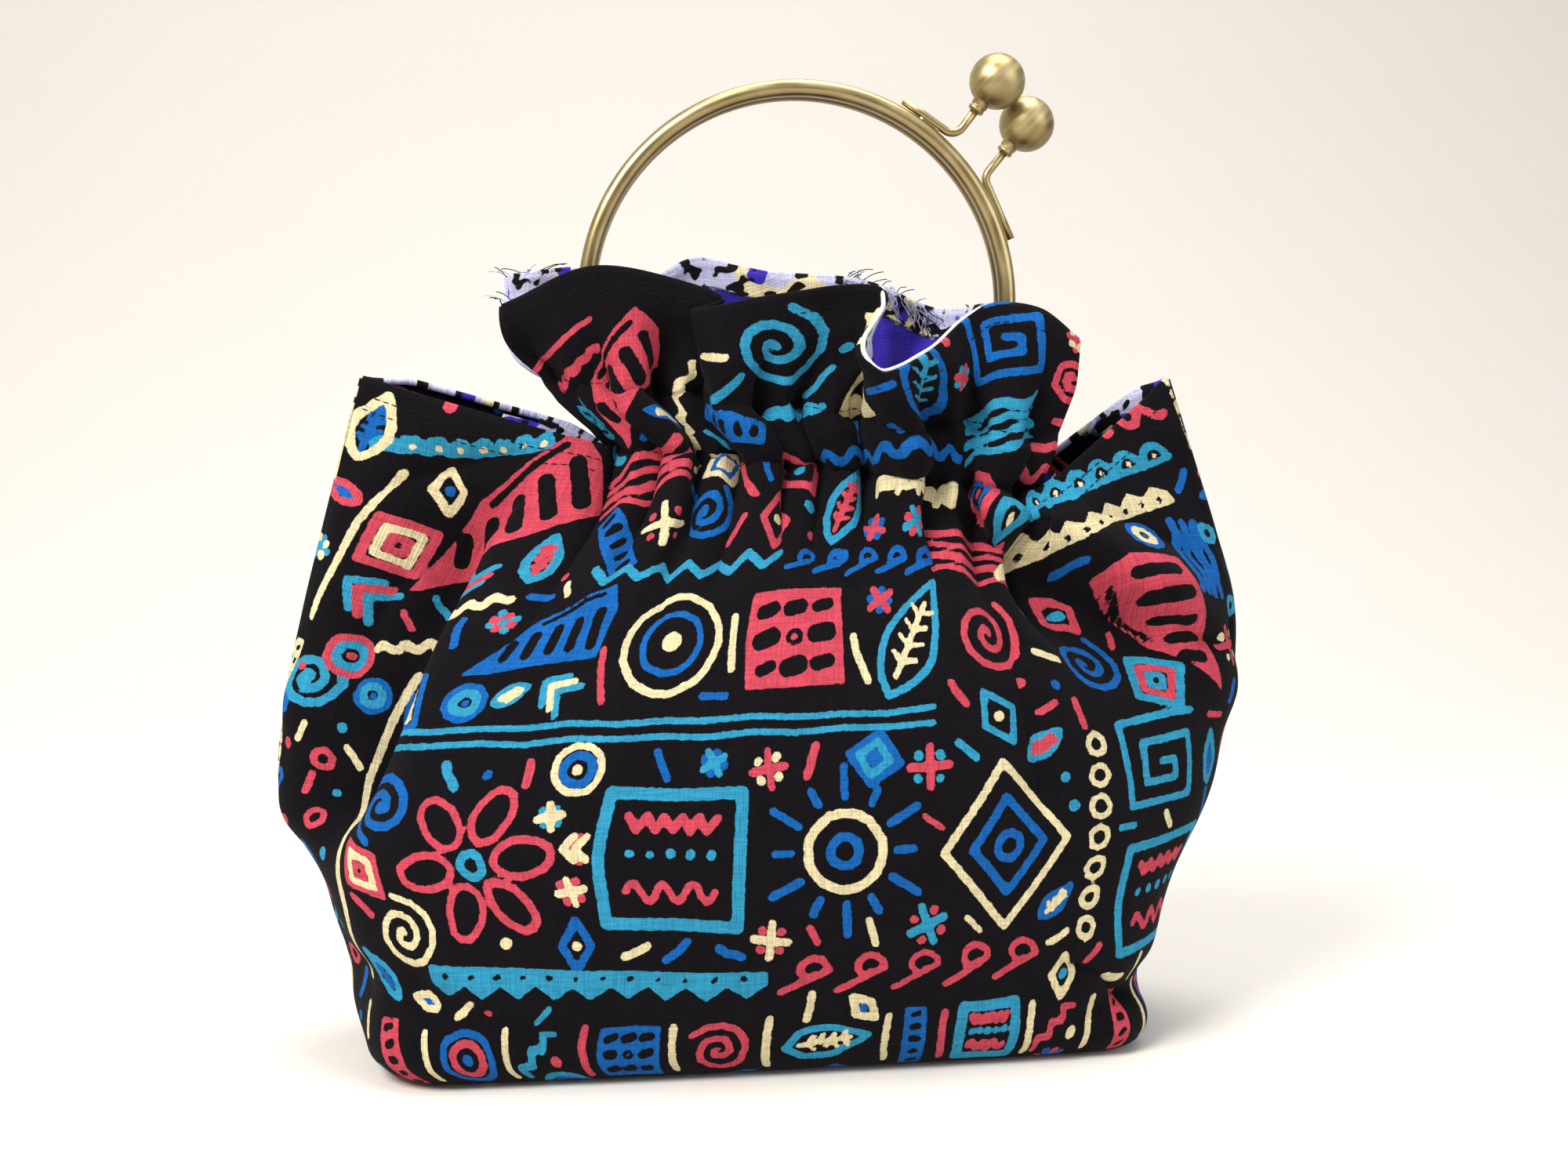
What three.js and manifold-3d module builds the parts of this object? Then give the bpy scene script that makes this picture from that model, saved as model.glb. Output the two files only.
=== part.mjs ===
// A reversible cloth handbag with a ruffled top, gathered on a pair of metal hoops that close with two ball clasps.
// Millimetres and degrees. X runs to the right seen from the front, Y to the back, Z up.
import * as THREE from 'three';
import { mergeVertices } from 'three/addons/utils/BufferGeometryUtils.js';
import Module from 'manifold-3d';

// Cloth layers
const CLOTH_WALL = 1.0;
const LAYER_GAP = 0.6;
const SEAM_GAP = 0.3;
const FIT_GAP = 0.3;

// Bag body
const HALF_WIDTH = 165;
const BELLY_DEPTH = 65;
const EAR_HEIGHT = 229.7;
const BASE_CORNER_RADIUS = 22;
const OVAL_SPREAD = 0.2;

// Hoops and clasp
const HOOP_DIAMETER = 150;
const ROD_DIAMETER = 6;
const BAR_DROP = 45;
const BAR_CORNER_RADIUS = 8;
const HOOP_SIDE_SHIFT = 12.5;
const HOOP_CENTRE_HEIGHT = 255.7;
const FRAME_TILT = 6;
const STEM_DIAMETER = 2.9;
const BRAZE_SINK = 0.35;
const STEM_TURN_RISE = 1.6;
const BALL_DIAMETER = 19;
const COLLAR_DIAMETER = 5.6;
const COLLAR_LENGTH = 3.2;
const SOCKET_DEPTH = 5;
const HINGE_BARREL_LENGTH = 9;
const HINGE_OFFSET = 6;
const WELD_BEAD_LENGTH = 4;
const WELD_BEAD_RISE = 0.2;
const WELD_OPENING = 0.4;

// Flap that carries a hoop: a casing with the bar in it and a ruffled heading above
const CASING_HEIGHT = 22;
const HEADING_HEIGHT = 40;
const FLAP_FOOT_LEFT = -52;
const FLAP_FOOT_RIGHT = 94;
const FLAP_NECK_LEFT = -74;
const FLAP_NECK_RIGHT = 101;
const FLAP_HALF_SPAN = 97.5;
const GATHER_DEPTH = 12;
const GATHER_SINK = 0.45;
const GATHER_SPREAD = 0.6;
const HEADING_BOW = 2.5;

// Grid counts
const COLUMNS = 28;
const LEFT_EAR_COLUMNS = 6;
const RIGHT_EAR_COLUMNS = 5;
const SIDE_COLUMNS = 4;
const HEADING_ROWS = 4;
const ROD_SIDES = 12;
const ARC_STEPS = 46;
const STEM_SIDES = 8;
const STEM_STEPS = 12;
const BALL_SIDES = 16;
const BALL_RINGS = 10;
const BODY_LEVELS = [0, 0.04, 0.13, 0.24, 0.37, 0.5, 0.63, 0.76, 0.88, 1];
const SLOPE_STEP = 0.01;

// Worked out from the sizes above
const HOOP_SPACING = ROD_DIAMETER + 2 * (CLOTH_WALL + 2 * FIT_GAP);
const HOOP_RADIUS = (HOOP_DIAMETER - ROD_DIAMETER) / 2;
const LAYER_OUT = LAYER_GAP / 2 + CLOTH_WALL;
const CASING_FRONT = HOOP_SPACING / 2 + ROD_DIAMETER / 2 + FIT_GAP + LAYER_OUT;
const BEHIND_BAR = HOOP_SPACING / 2 - ROD_DIAMETER / 2 - FIT_GAP - CLOTH_WALL / 2;
const BAR_CLEAR = ROD_DIAMETER / 2 + FIT_GAP + CLOTH_WALL;
const LEFT_SLIT = LEFT_EAR_COLUMNS / COLUMNS;
const RIGHT_SLIT = 1 - RIGHT_EAR_COLUMNS / COLUMNS;
const FLAP_COLUMNS = COLUMNS - LEFT_EAR_COLUMNS - RIGHT_EAR_COLUMNS;
const FLAP_MIDDLE = HOOP_SIDE_SHIFT - 2;

// Rows of the flap from the axis of the bar: foot, below the bar, at the bar, above the bar, neck. The heading
// continues from the neck up to the ruffle.
const CASING_LIFTS = [-CASING_HEIGHT / 2, -BAR_CLEAR, 0, BAR_CLEAR, CASING_HEIGHT / 2];
const FLAP_ROWS = CASING_LIFTS.length - 1 + HEADING_ROWS;

// Level sections of the body, from the underside up. level is a share of EAR_HEIGHT at the side seams; left and
// right are shares of HALF_WIDTH; front, back and ear are shares of BELLY_DEPTH; boxy blends from an oval to a
// rounded rectangle; gather blends to the gathered top edge; turn is in degrees about the upright axis.
const SECTIONS = [
  { level: 0.0, left: 0.775, right: 0.78, front: 0.7, back: 0.72, ear: 0.72, boxy: 0.9, gather: 0.0, turn: 5 },
  { level: 0.04, left: 0.82, right: 0.8, front: 0.8, back: 0.82, ear: 0.82, boxy: 0.85, gather: 0.0, turn: 5 },
  { level: 0.14, left: 0.85, right: 0.83, front: 0.91, back: 0.91, ear: 0.91, boxy: 0.6, gather: 0.0, turn: 5 },
  { level: 0.26, left: 0.905, right: 0.885, front: 0.99, back: 0.99, ear: 0.98, boxy: 0.3, gather: 0.0, turn: 4 },
  { level: 0.38, left: 0.99, right: 0.965, front: 1.0, back: 1.0, ear: 0.93, boxy: 0.12, gather: 0.0, turn: 3 },
  { level: 0.52, left: 0.98, right: 1.015, front: 0.95, back: 0.95, ear: 0.84, boxy: 0.0, gather: 0.06, turn: 2 },
  { level: 0.65, left: 0.945, right: 1.015, front: 0.83, back: 0.83, ear: 0.7, boxy: 0.0, gather: 0.2, turn: 1 },
  { level: 0.77, left: 0.905, right: 0.965, front: 0.66, back: 0.66, ear: 0.54, boxy: 0.0, gather: 0.45, turn: 0 },
  { level: 0.88, left: 0.865, right: 0.915, front: 0.43, back: 0.43, ear: 0.4, boxy: 0.0, gather: 0.78, turn: 0 },
  { level: 1.0, left: 0.82, right: 0.86, front: 0.145, back: 0.145, ear: 0.38, boxy: 0.0, gather: 1.0, turn: 0 },
];

// Long folds of the front panel. depth is a share of BELLY_DEPTH, above zero inwards; before and after are the
// widths on the two sides of the path as shares of HALF_WIDTH; a path point is a share of HALF_WIDTH across and of
// EAR_HEIGHT up.
const FRONT_FOLDS = [
  { name: 'left side valley', depth: 0.29, before: 0.07, after: 0.15,
    path: [[-0.4, 0.86], [-0.6, 0.79], [-0.7, 0.66], [-0.77, 0.55], [-0.84, 0.44], [-0.9, 0.36], [-0.95, 0.28]] },
  { name: 'right shoulder ridge', depth: -0.13, before: 0.1, after: 0.05,
    path: [[0.4, 0.83], [0.56, 0.81], [0.68, 0.755], [0.8, 0.69], [0.96, 0.58]] },
  { name: 'right shoulder hollow', depth: 0.13, before: 0.06, after: 0.11,
    path: [[0.34, 0.78], [0.52, 0.735], [0.64, 0.68], [0.78, 0.61], [0.92, 0.5]] },
  { name: 'lower left dent', depth: 0.07, before: 0.05, after: 0.07,
    path: [[-0.95, 0.17], [-0.8, 0.155], [-0.6, 0.1]] },
  { name: 'lower right dent', depth: 0.09, before: 0.05, after: 0.05,
    path: [[0.95, 0.085], [0.78, 0.1], [0.58, 0.05]] },
];

// The back panel hangs plainer, with one soft fold under each end of the gathers.
const BACK_FOLDS = [
  { name: 'left back valley', depth: 0.16, before: 0.1, after: 0.1,
    path: [[-0.4, 0.84], [-0.6, 0.7], [-0.74, 0.5], [-0.86, 0.33]] },
  { name: 'right back valley', depth: 0.16, before: 0.1, after: 0.1,
    path: [[0.52, 0.84], [0.66, 0.7], [0.78, 0.5], [0.86, 0.33]] },
];

// Gathers that stand out over the bar. along and width are shares of the flap; out is a share of GATHER_DEPTH;
// drop is the share of the body height over which a gather runs out below the casing.
const FRONT_GATHERS = [
  { along: 0.14, out: 0.4, width: 0.055, drop: 0.3 },
  { along: 0.38, out: 0.5, width: 0.06, drop: 0.22 },
  { along: 0.55, out: 0.35, width: 0.05, drop: 0.16 },
  { along: 0.7, out: 1.0, width: 0.055, drop: 0.16 },
  { along: 0.91, out: 0.5, width: 0.055, drop: 0.3 },
];
const BACK_GATHERS = [
  { along: 0.12, out: 0.45, width: 0.055, drop: 0.25 },
  { along: 0.3, out: 0.4, width: 0.05, drop: 0.2 },
  { along: 0.52, out: 0.5, width: 0.06, drop: 0.24 },
  { along: 0.72, out: 0.4, width: 0.05, drop: 0.2 },
  { along: 0.9, out: 0.5, width: 0.055, drop: 0.26 },
];

// Turning points of the ruffled top edges from left to right. reach is a share of FLAP_HALF_SPAN from the middle
// of the flap; out is a share of HEADING_HEIGHT from the middle plane of the bag; rise is a share of
// HEADING_HEIGHT above the level upper edge of the casing.
const FRONT_RUFFLE = [
  { name: 'left corner', reach: -1.0, out: 0.3, rise: 0.79 },
  { name: 'left lobe', reach: -0.68, out: 0.5, rise: 1.10 },
  { name: 'tuck behind', reach: -0.25, out: 0.26, rise: 0.86 },
  { name: 'tuck in front', reach: -0.36, out: 0.47, rise: 0.74 },
  { name: 'middle lobe', reach: -0.06, out: 0.58, rise: 0.87 },
  { name: 'middle lobe end', reach: 0.3, out: 0.38, rise: 0.93 },
  { name: 'spout left', reach: 0.28, out: 0.68, rise: 0.53 },
  { name: 'spout tip', reach: 0.29, out: 0.96, rise: 0.20 },
  { name: 'spout right', reach: 0.49, out: 0.62, rise: 0.48 },
  { name: 'valley beside the spout', reach: 0.69, out: 0.27, rise: 0.81 },
  { name: 'right lobe', reach: 0.86, out: 0.42, rise: 0.77 },
  { name: 'right corner', reach: 1.0, out: 0.3, rise: 0.53 },
];
const BACK_RUFFLE = [
  { name: 'left corner', reach: -1.0, out: 0.32, rise: 1.08 },
  { name: 'left lobe', reach: -0.72, out: 0.46, rise: 1.16 },
  { name: 'tuck', reach: -0.5, out: 0.28, rise: 1.06 },
  { name: 'middle lobe', reach: -0.34, out: 0.48, rise: 1.24 },
  { name: 'middle', reach: -0.1, out: 0.56, rise: 1.14 },
  { name: 'middle valley', reach: 0.26, out: 0.42, rise: 1.06 },
  { name: 'right droop', reach: 0.58, out: 0.6, rise: 0.80 },
  { name: 'right valley', reach: 0.75, out: 0.32, rise: 0.84 },
  { name: 'right corner', reach: 1.0, out: 0.36, rise: 0.50 },
];

// Colours and finishes
const MATERIALS = {
  print: { color: 0x17151b, roughness: 0.86, metalness: 0.0 },
  lining: { color: 0x2c2385, roughness: 0.84, metalness: 0.0 },
  brass: { color: 0x8f7a4c, roughness: 0.36, metalness: 0.95 },
};

const radians = THREE.MathUtils.degToRad;
const lerp = THREE.MathUtils.lerp;
const clamp = THREE.MathUtils.clamp;

function smooth(low, high, value) {
  return THREE.MathUtils.smoothstep(value, low, high);
}

// Smooth interpolation of a named column of a table, with slopes from the neighbouring rows.
function tableValue(table, key, column, at) {
  const last = table.length - 1;
  const place = clamp(at, table[0][key], table[last][key]);
  let row = 0;
  while (row < last - 1 && table[row + 1][key] < place) row += 1;
  const slope = (index) => {
    const low = table[Math.max(index - 1, 0)];
    const high = table[Math.min(index + 1, last)];
    return (high[column] - low[column]) / (high[key] - low[key]);
  };
  const step = table[row + 1][key] - table[row][key];
  const share = (place - table[row][key]) / step;
  const cube = share ** 3;
  const square = share ** 2;
  return (2 * cube - 3 * square + 1) * table[row][column]
    + (cube - 2 * square + share) * step * slope(row)
    + (3 * square - 2 * cube) * table[row + 1][column]
    + (cube - square) * step * slope(row + 1);
}

// A rounded rectangle walked from the left seam over the front to the right seam, by share of its length.
function roundedBox(share, left, right, depth) {
  const radius = Math.min(BASE_CORNER_RADIUS, 0.9 * depth);
  const corner = Math.PI * radius / 2;
  const side = depth - radius;
  const front = left + right - 2 * radius;
  let walk = share * (2 * side + 2 * corner + front);
  const mirrored = walk > side + corner + front / 2;
  if (mirrored) walk = 2 * side + 2 * corner + front - walk;
  const reach = mirrored ? right : left;
  const sign = mirrored ? 1 : -1;
  if (walk < side) return [sign * reach, walk];
  if (walk < side + corner) {
    const angle = (walk - side) / radius;
    return [sign * (reach - radius + radius * Math.cos(angle)), side + radius * Math.sin(angle)];
  }
  return [sign * (reach - radius - (walk - side - corner)), depth];
}

// Height of the body's upper edge: down along the left ear, across the foot of the flap, up along the right ear.
function topHeight(across) {
  const leftFoot = casingHeight(FLAP_FOOT_LEFT) - CASING_HEIGHT / 2;
  const rightFoot = casingHeight(FLAP_FOOT_RIGHT) - CASING_HEIGHT / 2;
  if (across < LEFT_SLIT) return lerp(EAR_HEIGHT, leftFoot, across / LEFT_SLIT);
  if (across > RIGHT_SLIT) return lerp(rightFoot, EAR_HEIGHT, (across - RIGHT_SLIT) / (1 - RIGHT_SLIT));
  return lerp(leftFoot, rightFoot, (across - LEFT_SLIT) / (RIGHT_SLIT - LEFT_SLIT));
}

// Height of the bar's axis at a place along X.
function casingHeight(x) {
  const tilt = radians(FRAME_TILT);
  const foot = HOOP_CENTRE_HEIGHT - BAR_DROP / Math.cos(tilt);
  return foot - (x - HOOP_SIDE_SHIFT) * Math.tan(tilt);
}

// The stretch along X over which the lining can pass between the two sides of the hoop, just above the bar.
function hoopOpening() {
  const tilt = radians(FRAME_TILT);
  const drop = BAR_DROP - BAR_CLEAR;
  const reach = Math.sqrt(HOOP_RADIUS ** 2 - drop ** 2) - ROD_DIAMETER / 2 - LAYER_OUT;
  const middle = HOOP_SIDE_SHIFT - drop * Math.sin(tilt);
  return [middle - reach * Math.cos(tilt), middle + reach * Math.cos(tilt)];
}

// Gathers standing out at a share along the flap, faded by how far down the body the place lies.
function gatherOut(gathers, along, below) {
  return gathers.reduce((sum, ridge) => {
    const fade = 1 - smooth(0, ridge.drop, below);
    return sum + GATHER_DEPTH * ridge.out * fade * Math.exp(-(((along - ridge.along) / ridge.width) ** 2));
  }, 0);
}

// A place on the plain body, before its long folds. face is -1 at the front and 1 at the back.
function bodyBase(face, across, level) {
  const value = (column) => tableValue(SECTIONS, 'level', column, level);
  const left = HALF_WIDTH * value('left');
  const right = HALF_WIDTH * value('right');
  const earWeight = 1 - smooth(0.6 * LEFT_SLIT, 1.1 * LEFT_SLIT, Math.min(across, 1 - across));
  const depth = BELLY_DEPTH * lerp(value(face < 0 ? 'front' : 'back'), value('ear'), earWeight);
  const angle = Math.PI * across + OVAL_SPREAD * Math.sin(2 * Math.PI * across);
  const oval = [-Math.cos(angle) * (across < 0.5 ? left : right), Math.sin(angle) * depth];
  const box = roundedBox(across, left, right, depth);
  const boxy = value('boxy');
  const bodyX = lerp(oval[0], box[0], boxy);
  const topX = across < LEFT_SLIT ? lerp(-left, FLAP_FOOT_LEFT, across / LEFT_SLIT)
    : across > RIGHT_SLIT ? lerp(FLAP_FOOT_RIGHT, right, (across - RIGHT_SLIT) / (1 - RIGHT_SLIT))
      : lerp(FLAP_FOOT_LEFT, FLAP_FOOT_RIGHT, (across - LEFT_SLIT) / (RIGHT_SLIT - LEFT_SLIT));
  const gathers = face < 0 ? FRONT_GATHERS : BACK_GATHERS;
  const along = (across - LEFT_SLIT) / (RIGHT_SLIT - LEFT_SLIT);
  const x = lerp(bodyX, topX, clamp(value('gather'), 0, 1));
  const y = lerp(oval[1], box[1], boxy) + gatherOut(gathers, along, 1 - level);
  const turn = radians(value('turn'));
  return new THREE.Vector3(
    x * Math.cos(turn) - face * y * Math.sin(turn),
    x * Math.sin(turn) + face * y * Math.cos(turn),
    LAYER_OUT + level * (topHeight(across) - LAYER_OUT),
  );
}

// How far the long folds press a place inwards, from its distance to each fold's path.
function foldDepth(folds, place) {
  return folds.reduce((sum, fold) => {
    const path = fold.path.map(([across, up]) => [across * HALF_WIDTH, up * EAR_HEIGHT]);
    let nearest = { distance: Infinity };
    path.slice(1).forEach((end, index) => {
      const start = path[index];
      const run = [end[0] - start[0], end[1] - start[1]];
      const offset = [place.x - start[0], place.z - start[1]];
      const length = Math.hypot(run[0], run[1]);
      const share = clamp((offset[0] * run[0] + offset[1] * run[1]) / length ** 2, 0, 1);
      const distance = Math.hypot(offset[0] - share * run[0], offset[1] - share * run[1]);
      if (distance < nearest.distance) {
        const side = run[0] * offset[1] - run[1] * offset[0];
        nearest = { distance, side, walk: (index + share) / (path.length - 1) };
      }
    });
    const width = HALF_WIDTH * (nearest.side > 0 ? fold.before : fold.after);
    const fade = smooth(0, 0.25, nearest.walk) * (1 - smooth(0.75, 1, nearest.walk));
    return sum + BELLY_DEPTH * fold.depth * fade * Math.exp(-((nearest.distance / width) ** 2));
  }, 0);
}

// A place on the body with its long folds pressed in along the surface normal.
function bodyPoint(face, across, level) {
  const place = bodyBase(face, across, level);
  const alongRow = bodyBase(face, Math.min(across + SLOPE_STEP, 1), level)
    .sub(bodyBase(face, Math.max(across - SLOPE_STEP, 0), level));
  const upward = bodyBase(face, across, Math.min(level + SLOPE_STEP, 1))
    .sub(bodyBase(face, across, Math.max(level - SLOPE_STEP, 0)));
  const inward = alongRow.cross(upward).normalize().multiplyScalar(face);
  const seamFade = smooth(0, 0.09, Math.min(across, 1 - across)) * (1 - smooth(0.93, 1, level));
  const folds = face < 0 ? FRONT_FOLDS : BACK_FOLDS;
  return place.addScaledVector(inward, seamFade * foldDepth(folds, place));
}

// A smooth curve along the flap's ruffled top edge.
function ruffleCurve(face) {
  const rows = face < 0 ? FRONT_RUFFLE : BACK_RUFFLE;
  const points = rows.map((row) => {
    const x = FLAP_MIDDLE + row.reach * FLAP_HALF_SPAN;
    const neckHeight = casingHeight(FLAP_MIDDLE) + CASING_HEIGHT / 2;
    return new THREE.Vector3(x, face * row.out * HEADING_HEIGHT, neckHeight + row.rise * HEADING_HEIGHT);
  });
  return new THREE.CatmullRomCurve3(points, false, 'centripetal');
}

function flapPoint(face, along, row, edge) {
  const neckRow = CASING_LIFTS.length - 1;
  const share = Math.min(row / neckRow, 1);
  const x = lerp(
    lerp(FLAP_FOOT_LEFT, FLAP_NECK_LEFT, share),
    lerp(FLAP_FOOT_RIGHT, FLAP_NECK_RIGHT, share),
    along,
  );
  const gathers = face < 0 ? FRONT_GATHERS : BACK_GATHERS;
  const out = gatherOut(gathers, along, 0);
  const footX = lerp(FLAP_FOOT_LEFT, FLAP_FOOT_RIGHT, along);
  const sink = GATHER_SINK * out * share;
  const casing = new THREE.Vector3(
    x,
    face * (CASING_FRONT + out * (1 + GATHER_SPREAD * share)),
    casingHeight(lerp(footX, x, share)) + CASING_LIFTS[Math.min(row, neckRow)] - sink,
  );
  if (row <= neckRow) return casing;
  const rise = (row - neckRow) / HEADING_ROWS;
  const top = edge.getPointAt(along);
  const place = casing.lerp(top, rise);
  place.y += face * HEADING_BOW * Math.sin(Math.PI * rise);
  return place;
}

// The middle surface of one side of the bag as rows of points, with the quads that join them.
function middleSurface(face) {
  const points = [];
  const add = (place) => points.push(place) - 1;
  const body = BODY_LEVELS.map((level) => Array.from(
    { length: COLUMNS + 1 },
    (_, column) => add(bodyPoint(face, column / COLUMNS, level)),
  ));
  const quads = [];
  const join = (lower, upper, part) => {
    for (let column = 0; column < lower.length - 1; column += 1) {
      const corners = [lower[column], lower[column + 1], upper[column + 1], upper[column]];
      quads.push({ corners, part, column });
    }
  };
  body.slice(1).forEach((row, index) => join(body[index], row, 'body'));
  const ring = body[0];
  const underColumns = COLUMNS - 2 * SIDE_COLUMNS;
  const seamStart = points[ring[0]];
  const seamEnd = points[ring[COLUMNS]];
  const underRows = Array.from({ length: SIDE_COLUMNS + 1 }, (_, row) => {
    if (row === SIDE_COLUMNS) return ring.slice(SIDE_COLUMNS, COLUMNS - SIDE_COLUMNS + 1);
    const start = points[ring[row]];
    const end = points[ring[COLUMNS - row]];
    return Array.from({ length: underColumns + 1 }, (__, column) => {
      if (column === 0) return ring[row];
      if (column === underColumns) return ring[COLUMNS - row];
      return add(start.clone().lerp(end, column / underColumns));
    });
  });
  underRows.slice(1).forEach((row, index) => join(underRows[index], row, 'under'));
  const edge = ruffleCurve(face);
  let lower = body[body.length - 1].slice(LEFT_EAR_COLUMNS, COLUMNS - RIGHT_EAR_COLUMNS + 1);
  const flap = [lower];
  for (let row = 1; row <= FLAP_ROWS; row += 1) {
    const upper = lower.map((_, column) => add(flapPoint(face, column / FLAP_COLUMNS, row, edge)));
    join(lower, upper, row < CASING_LIFTS.length ? 'casing' : 'heading');
    flap.push(upper);
    lower = upper;
  }
  const seams = new Map();
  const turnedY = (turn) => new THREE.Vector3(-Math.sin(turn), Math.cos(turn), 0);
  body.forEach((row, index) => {
    const across = turnedY(radians(tableValue(SECTIONS, 'level', 'turn', BODY_LEVELS[index])));
    seams.set(row[0], across);
    seams.set(row[COLUMNS], across);
  });
  const baseAcross = turnedY(Math.atan2(seamEnd.y - seamStart.y, seamEnd.x - seamStart.x));
  underRows[0].slice(1, -1).forEach((index) => seams.set(index, baseAcross));
  return { points, quads, flap, seams };
}

// Unit normals of the middle surface, kept within the seam plane along the seams.
function surfaceNormals(surface, face) {
  const normals = surface.points.map(() => new THREE.Vector3());
  surface.quads.forEach(({ corners }) => {
    const [a, b, c, d] = corners.map((index) => surface.points[index]);
    const normal = c.clone().sub(a).cross(d.clone().sub(b)).multiplyScalar(-face);
    corners.forEach((index) => normals[index].add(normal));
  });
  surface.seams.forEach((across, index) => normals[index].projectOnPlane(across));
  return normals.map((normal) => normal.normalize());
}

// Cloth as a closed wall between two offsets of the middle surface. shift may move a vertex, keep may drop a quad.
function clothWall(surface, face, low, high, shift = () => null, keep = () => true) {
  const normals = surfaceNormals(surface, face);
  const side = (offset) => surface.points.map((point, index) => {
    const place = shift(index, offset) ?? point.clone().addScaledVector(normals[index], offset);
    const across = surface.seams.get(index);
    return across ? place.addScaledVector(across, face * SEAM_GAP / 2) : place;
  });
  const positions = [...side(high), ...side(low)];
  const count = surface.points.length;
  const triangles = [];
  const border = new Map();
  surface.quads.filter(keep).forEach(({ corners }) => {
    const ring = face < 0 ? corners : [...corners].reverse();
    const [a, b, c, d] = ring;
    triangles.push(a, b, c, a, c, d);
    triangles.push(a + count, c + count, b + count, a + count, d + count, c + count);
    ring.forEach((from, index) => {
      const to = ring[(index + 1) % ring.length];
      if (!border.delete(`${to} ${from}`)) border.set(`${from} ${to}`, [from, to]);
    });
  });
  border.forEach(([from, to]) => {
    triangles.push(from, from + count, to + count, from, to + count, to);
  });
  return indexedGeometry(positions, triangles);
}

// A geometry that holds only the vertices its triangles use.
function indexedGeometry(positions, triangles) {
  const soup = new THREE.BufferGeometry();
  const values = triangles.flatMap((index) => positions[index].toArray());
  soup.setAttribute('position', new THREE.Float32BufferAttribute(values, 3));
  const geometry = mergeVertices(soup, 1e-4);
  geometry.computeVertexNormals();
  return geometry;
}

function outerPanel(surface, face) {
  return clothWall(surface, face, LAYER_GAP / 2, LAYER_OUT);
}

// The lining follows the inside of the panel, passes behind the bar and stays open at the two ends of the casing.
function liningPanel(surface, face) {
  const behind = new Map();
  CASING_LIFTS.slice(1, -1).forEach((lift, row) => {
    surface.flap[row + 1].forEach((index) => behind.set(index, lift));
  });
  const middle = -(LAYER_GAP / 2 + CLOTH_WALL / 2);
  const shift = (index, offset) => {
    if (!behind.has(index)) return null;
    const { x } = surface.points[index];
    return new THREE.Vector3(x, face * (BEHIND_BAR + offset - middle), casingHeight(x) + behind.get(index));
  };
  const [left, right] = hoopOpening();
  const keep = ({ part, corners }) => part !== 'casing'
    || corners.every((index) => surface.points[index].x > left && surface.points[index].x < right);
  return clothWall(surface, face, -LAYER_OUT, -LAYER_GAP / 2, shift, keep);
}

const wasm = await Module();
wasm.setup();

function toSolid(geometry) {
  const bare = geometry.clone();
  bare.deleteAttribute('normal');
  bare.deleteAttribute('uv');
  const merged = mergeVertices(bare, 1e-4);
  return new wasm.Manifold(new wasm.Mesh({
    numProp: 3,
    vertProperties: merged.attributes.position.array,
    triVerts: new Uint32Array(merged.index.array),
  }));
}

function fromSolid(solid) {
  const mesh = solid.getMesh();
  const geometry = new THREE.BufferGeometry();
  geometry.setAttribute('position', new THREE.Float32BufferAttribute(mesh.vertProperties, 3));
  geometry.setIndex(new THREE.Uint32BufferAttribute(mesh.triVerts, 1));
  geometry.computeVertexNormals();
  return geometry;
}

// A round wire along a curve, closed at both ends.
function wire(curve, diameter, sides, steps) {
  const section = new THREE.Shape(Array.from({ length: sides }, (_, index) => {
    const angle = 2 * Math.PI * index / sides;
    return new THREE.Vector2(Math.cos(angle), Math.sin(angle)).multiplyScalar(diameter / 2);
  }));
  return new THREE.ExtrudeGeometry(section, { steps, bevelEnabled: false, extrudePath: curve });
}

function onHoop(angle, radius) {
  return new THREE.Vector3(radius * Math.cos(radians(angle)), 0, radius * Math.sin(radians(angle)));
}

// An arc in the plane of the hoop.
class HoopArc extends THREE.Curve {
  constructor(centre, radius, start, end) {
    super();
    Object.assign(this, { centre, radius, start, end });
  }

  getPoint(share, target = new THREE.Vector3()) {
    return target.copy(onHoop(lerp(this.start, this.end, share), this.radius)).add(this.centre);
  }
}

// Where the corner fillet between the round hoop and its straight bar has its centre, and the angles that it spans.
function barCorner() {
  const height = BAR_CORNER_RADIUS - BAR_DROP;
  const reach = HOOP_RADIUS - BAR_CORNER_RADIUS;
  const centre = new THREE.Vector3(Math.sqrt(reach ** 2 - height ** 2), 0, height);
  const angle = THREE.MathUtils.radToDeg(Math.atan2(height, centre.x));
  return { centre, angle };
}

// The closed path of the hoop, starting and ending at the weld in the middle of the bar.
function hoopPath() {
  const { centre, angle } = barCorner();
  const mirrored = new THREE.Vector3(-centre.x, 0, centre.z);
  const path = new THREE.CurvePath();
  const weld = WELD_OPENING / 2;
  path.add(new THREE.LineCurve3(new THREE.Vector3(weld, 0, -BAR_DROP), new THREE.Vector3(centre.x, 0, -BAR_DROP)));
  path.add(new HoopArc(centre, BAR_CORNER_RADIUS, -90, angle));
  path.add(new HoopArc(new THREE.Vector3(), HOOP_RADIUS, angle, 180 - angle));
  path.add(new HoopArc(mirrored, BAR_CORNER_RADIUS, 180 - angle, 270));
  path.add(new THREE.LineCurve3(new THREE.Vector3(-centre.x, 0, -BAR_DROP), new THREE.Vector3(-weld, 0, -BAR_DROP)));
  return path;
}

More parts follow.
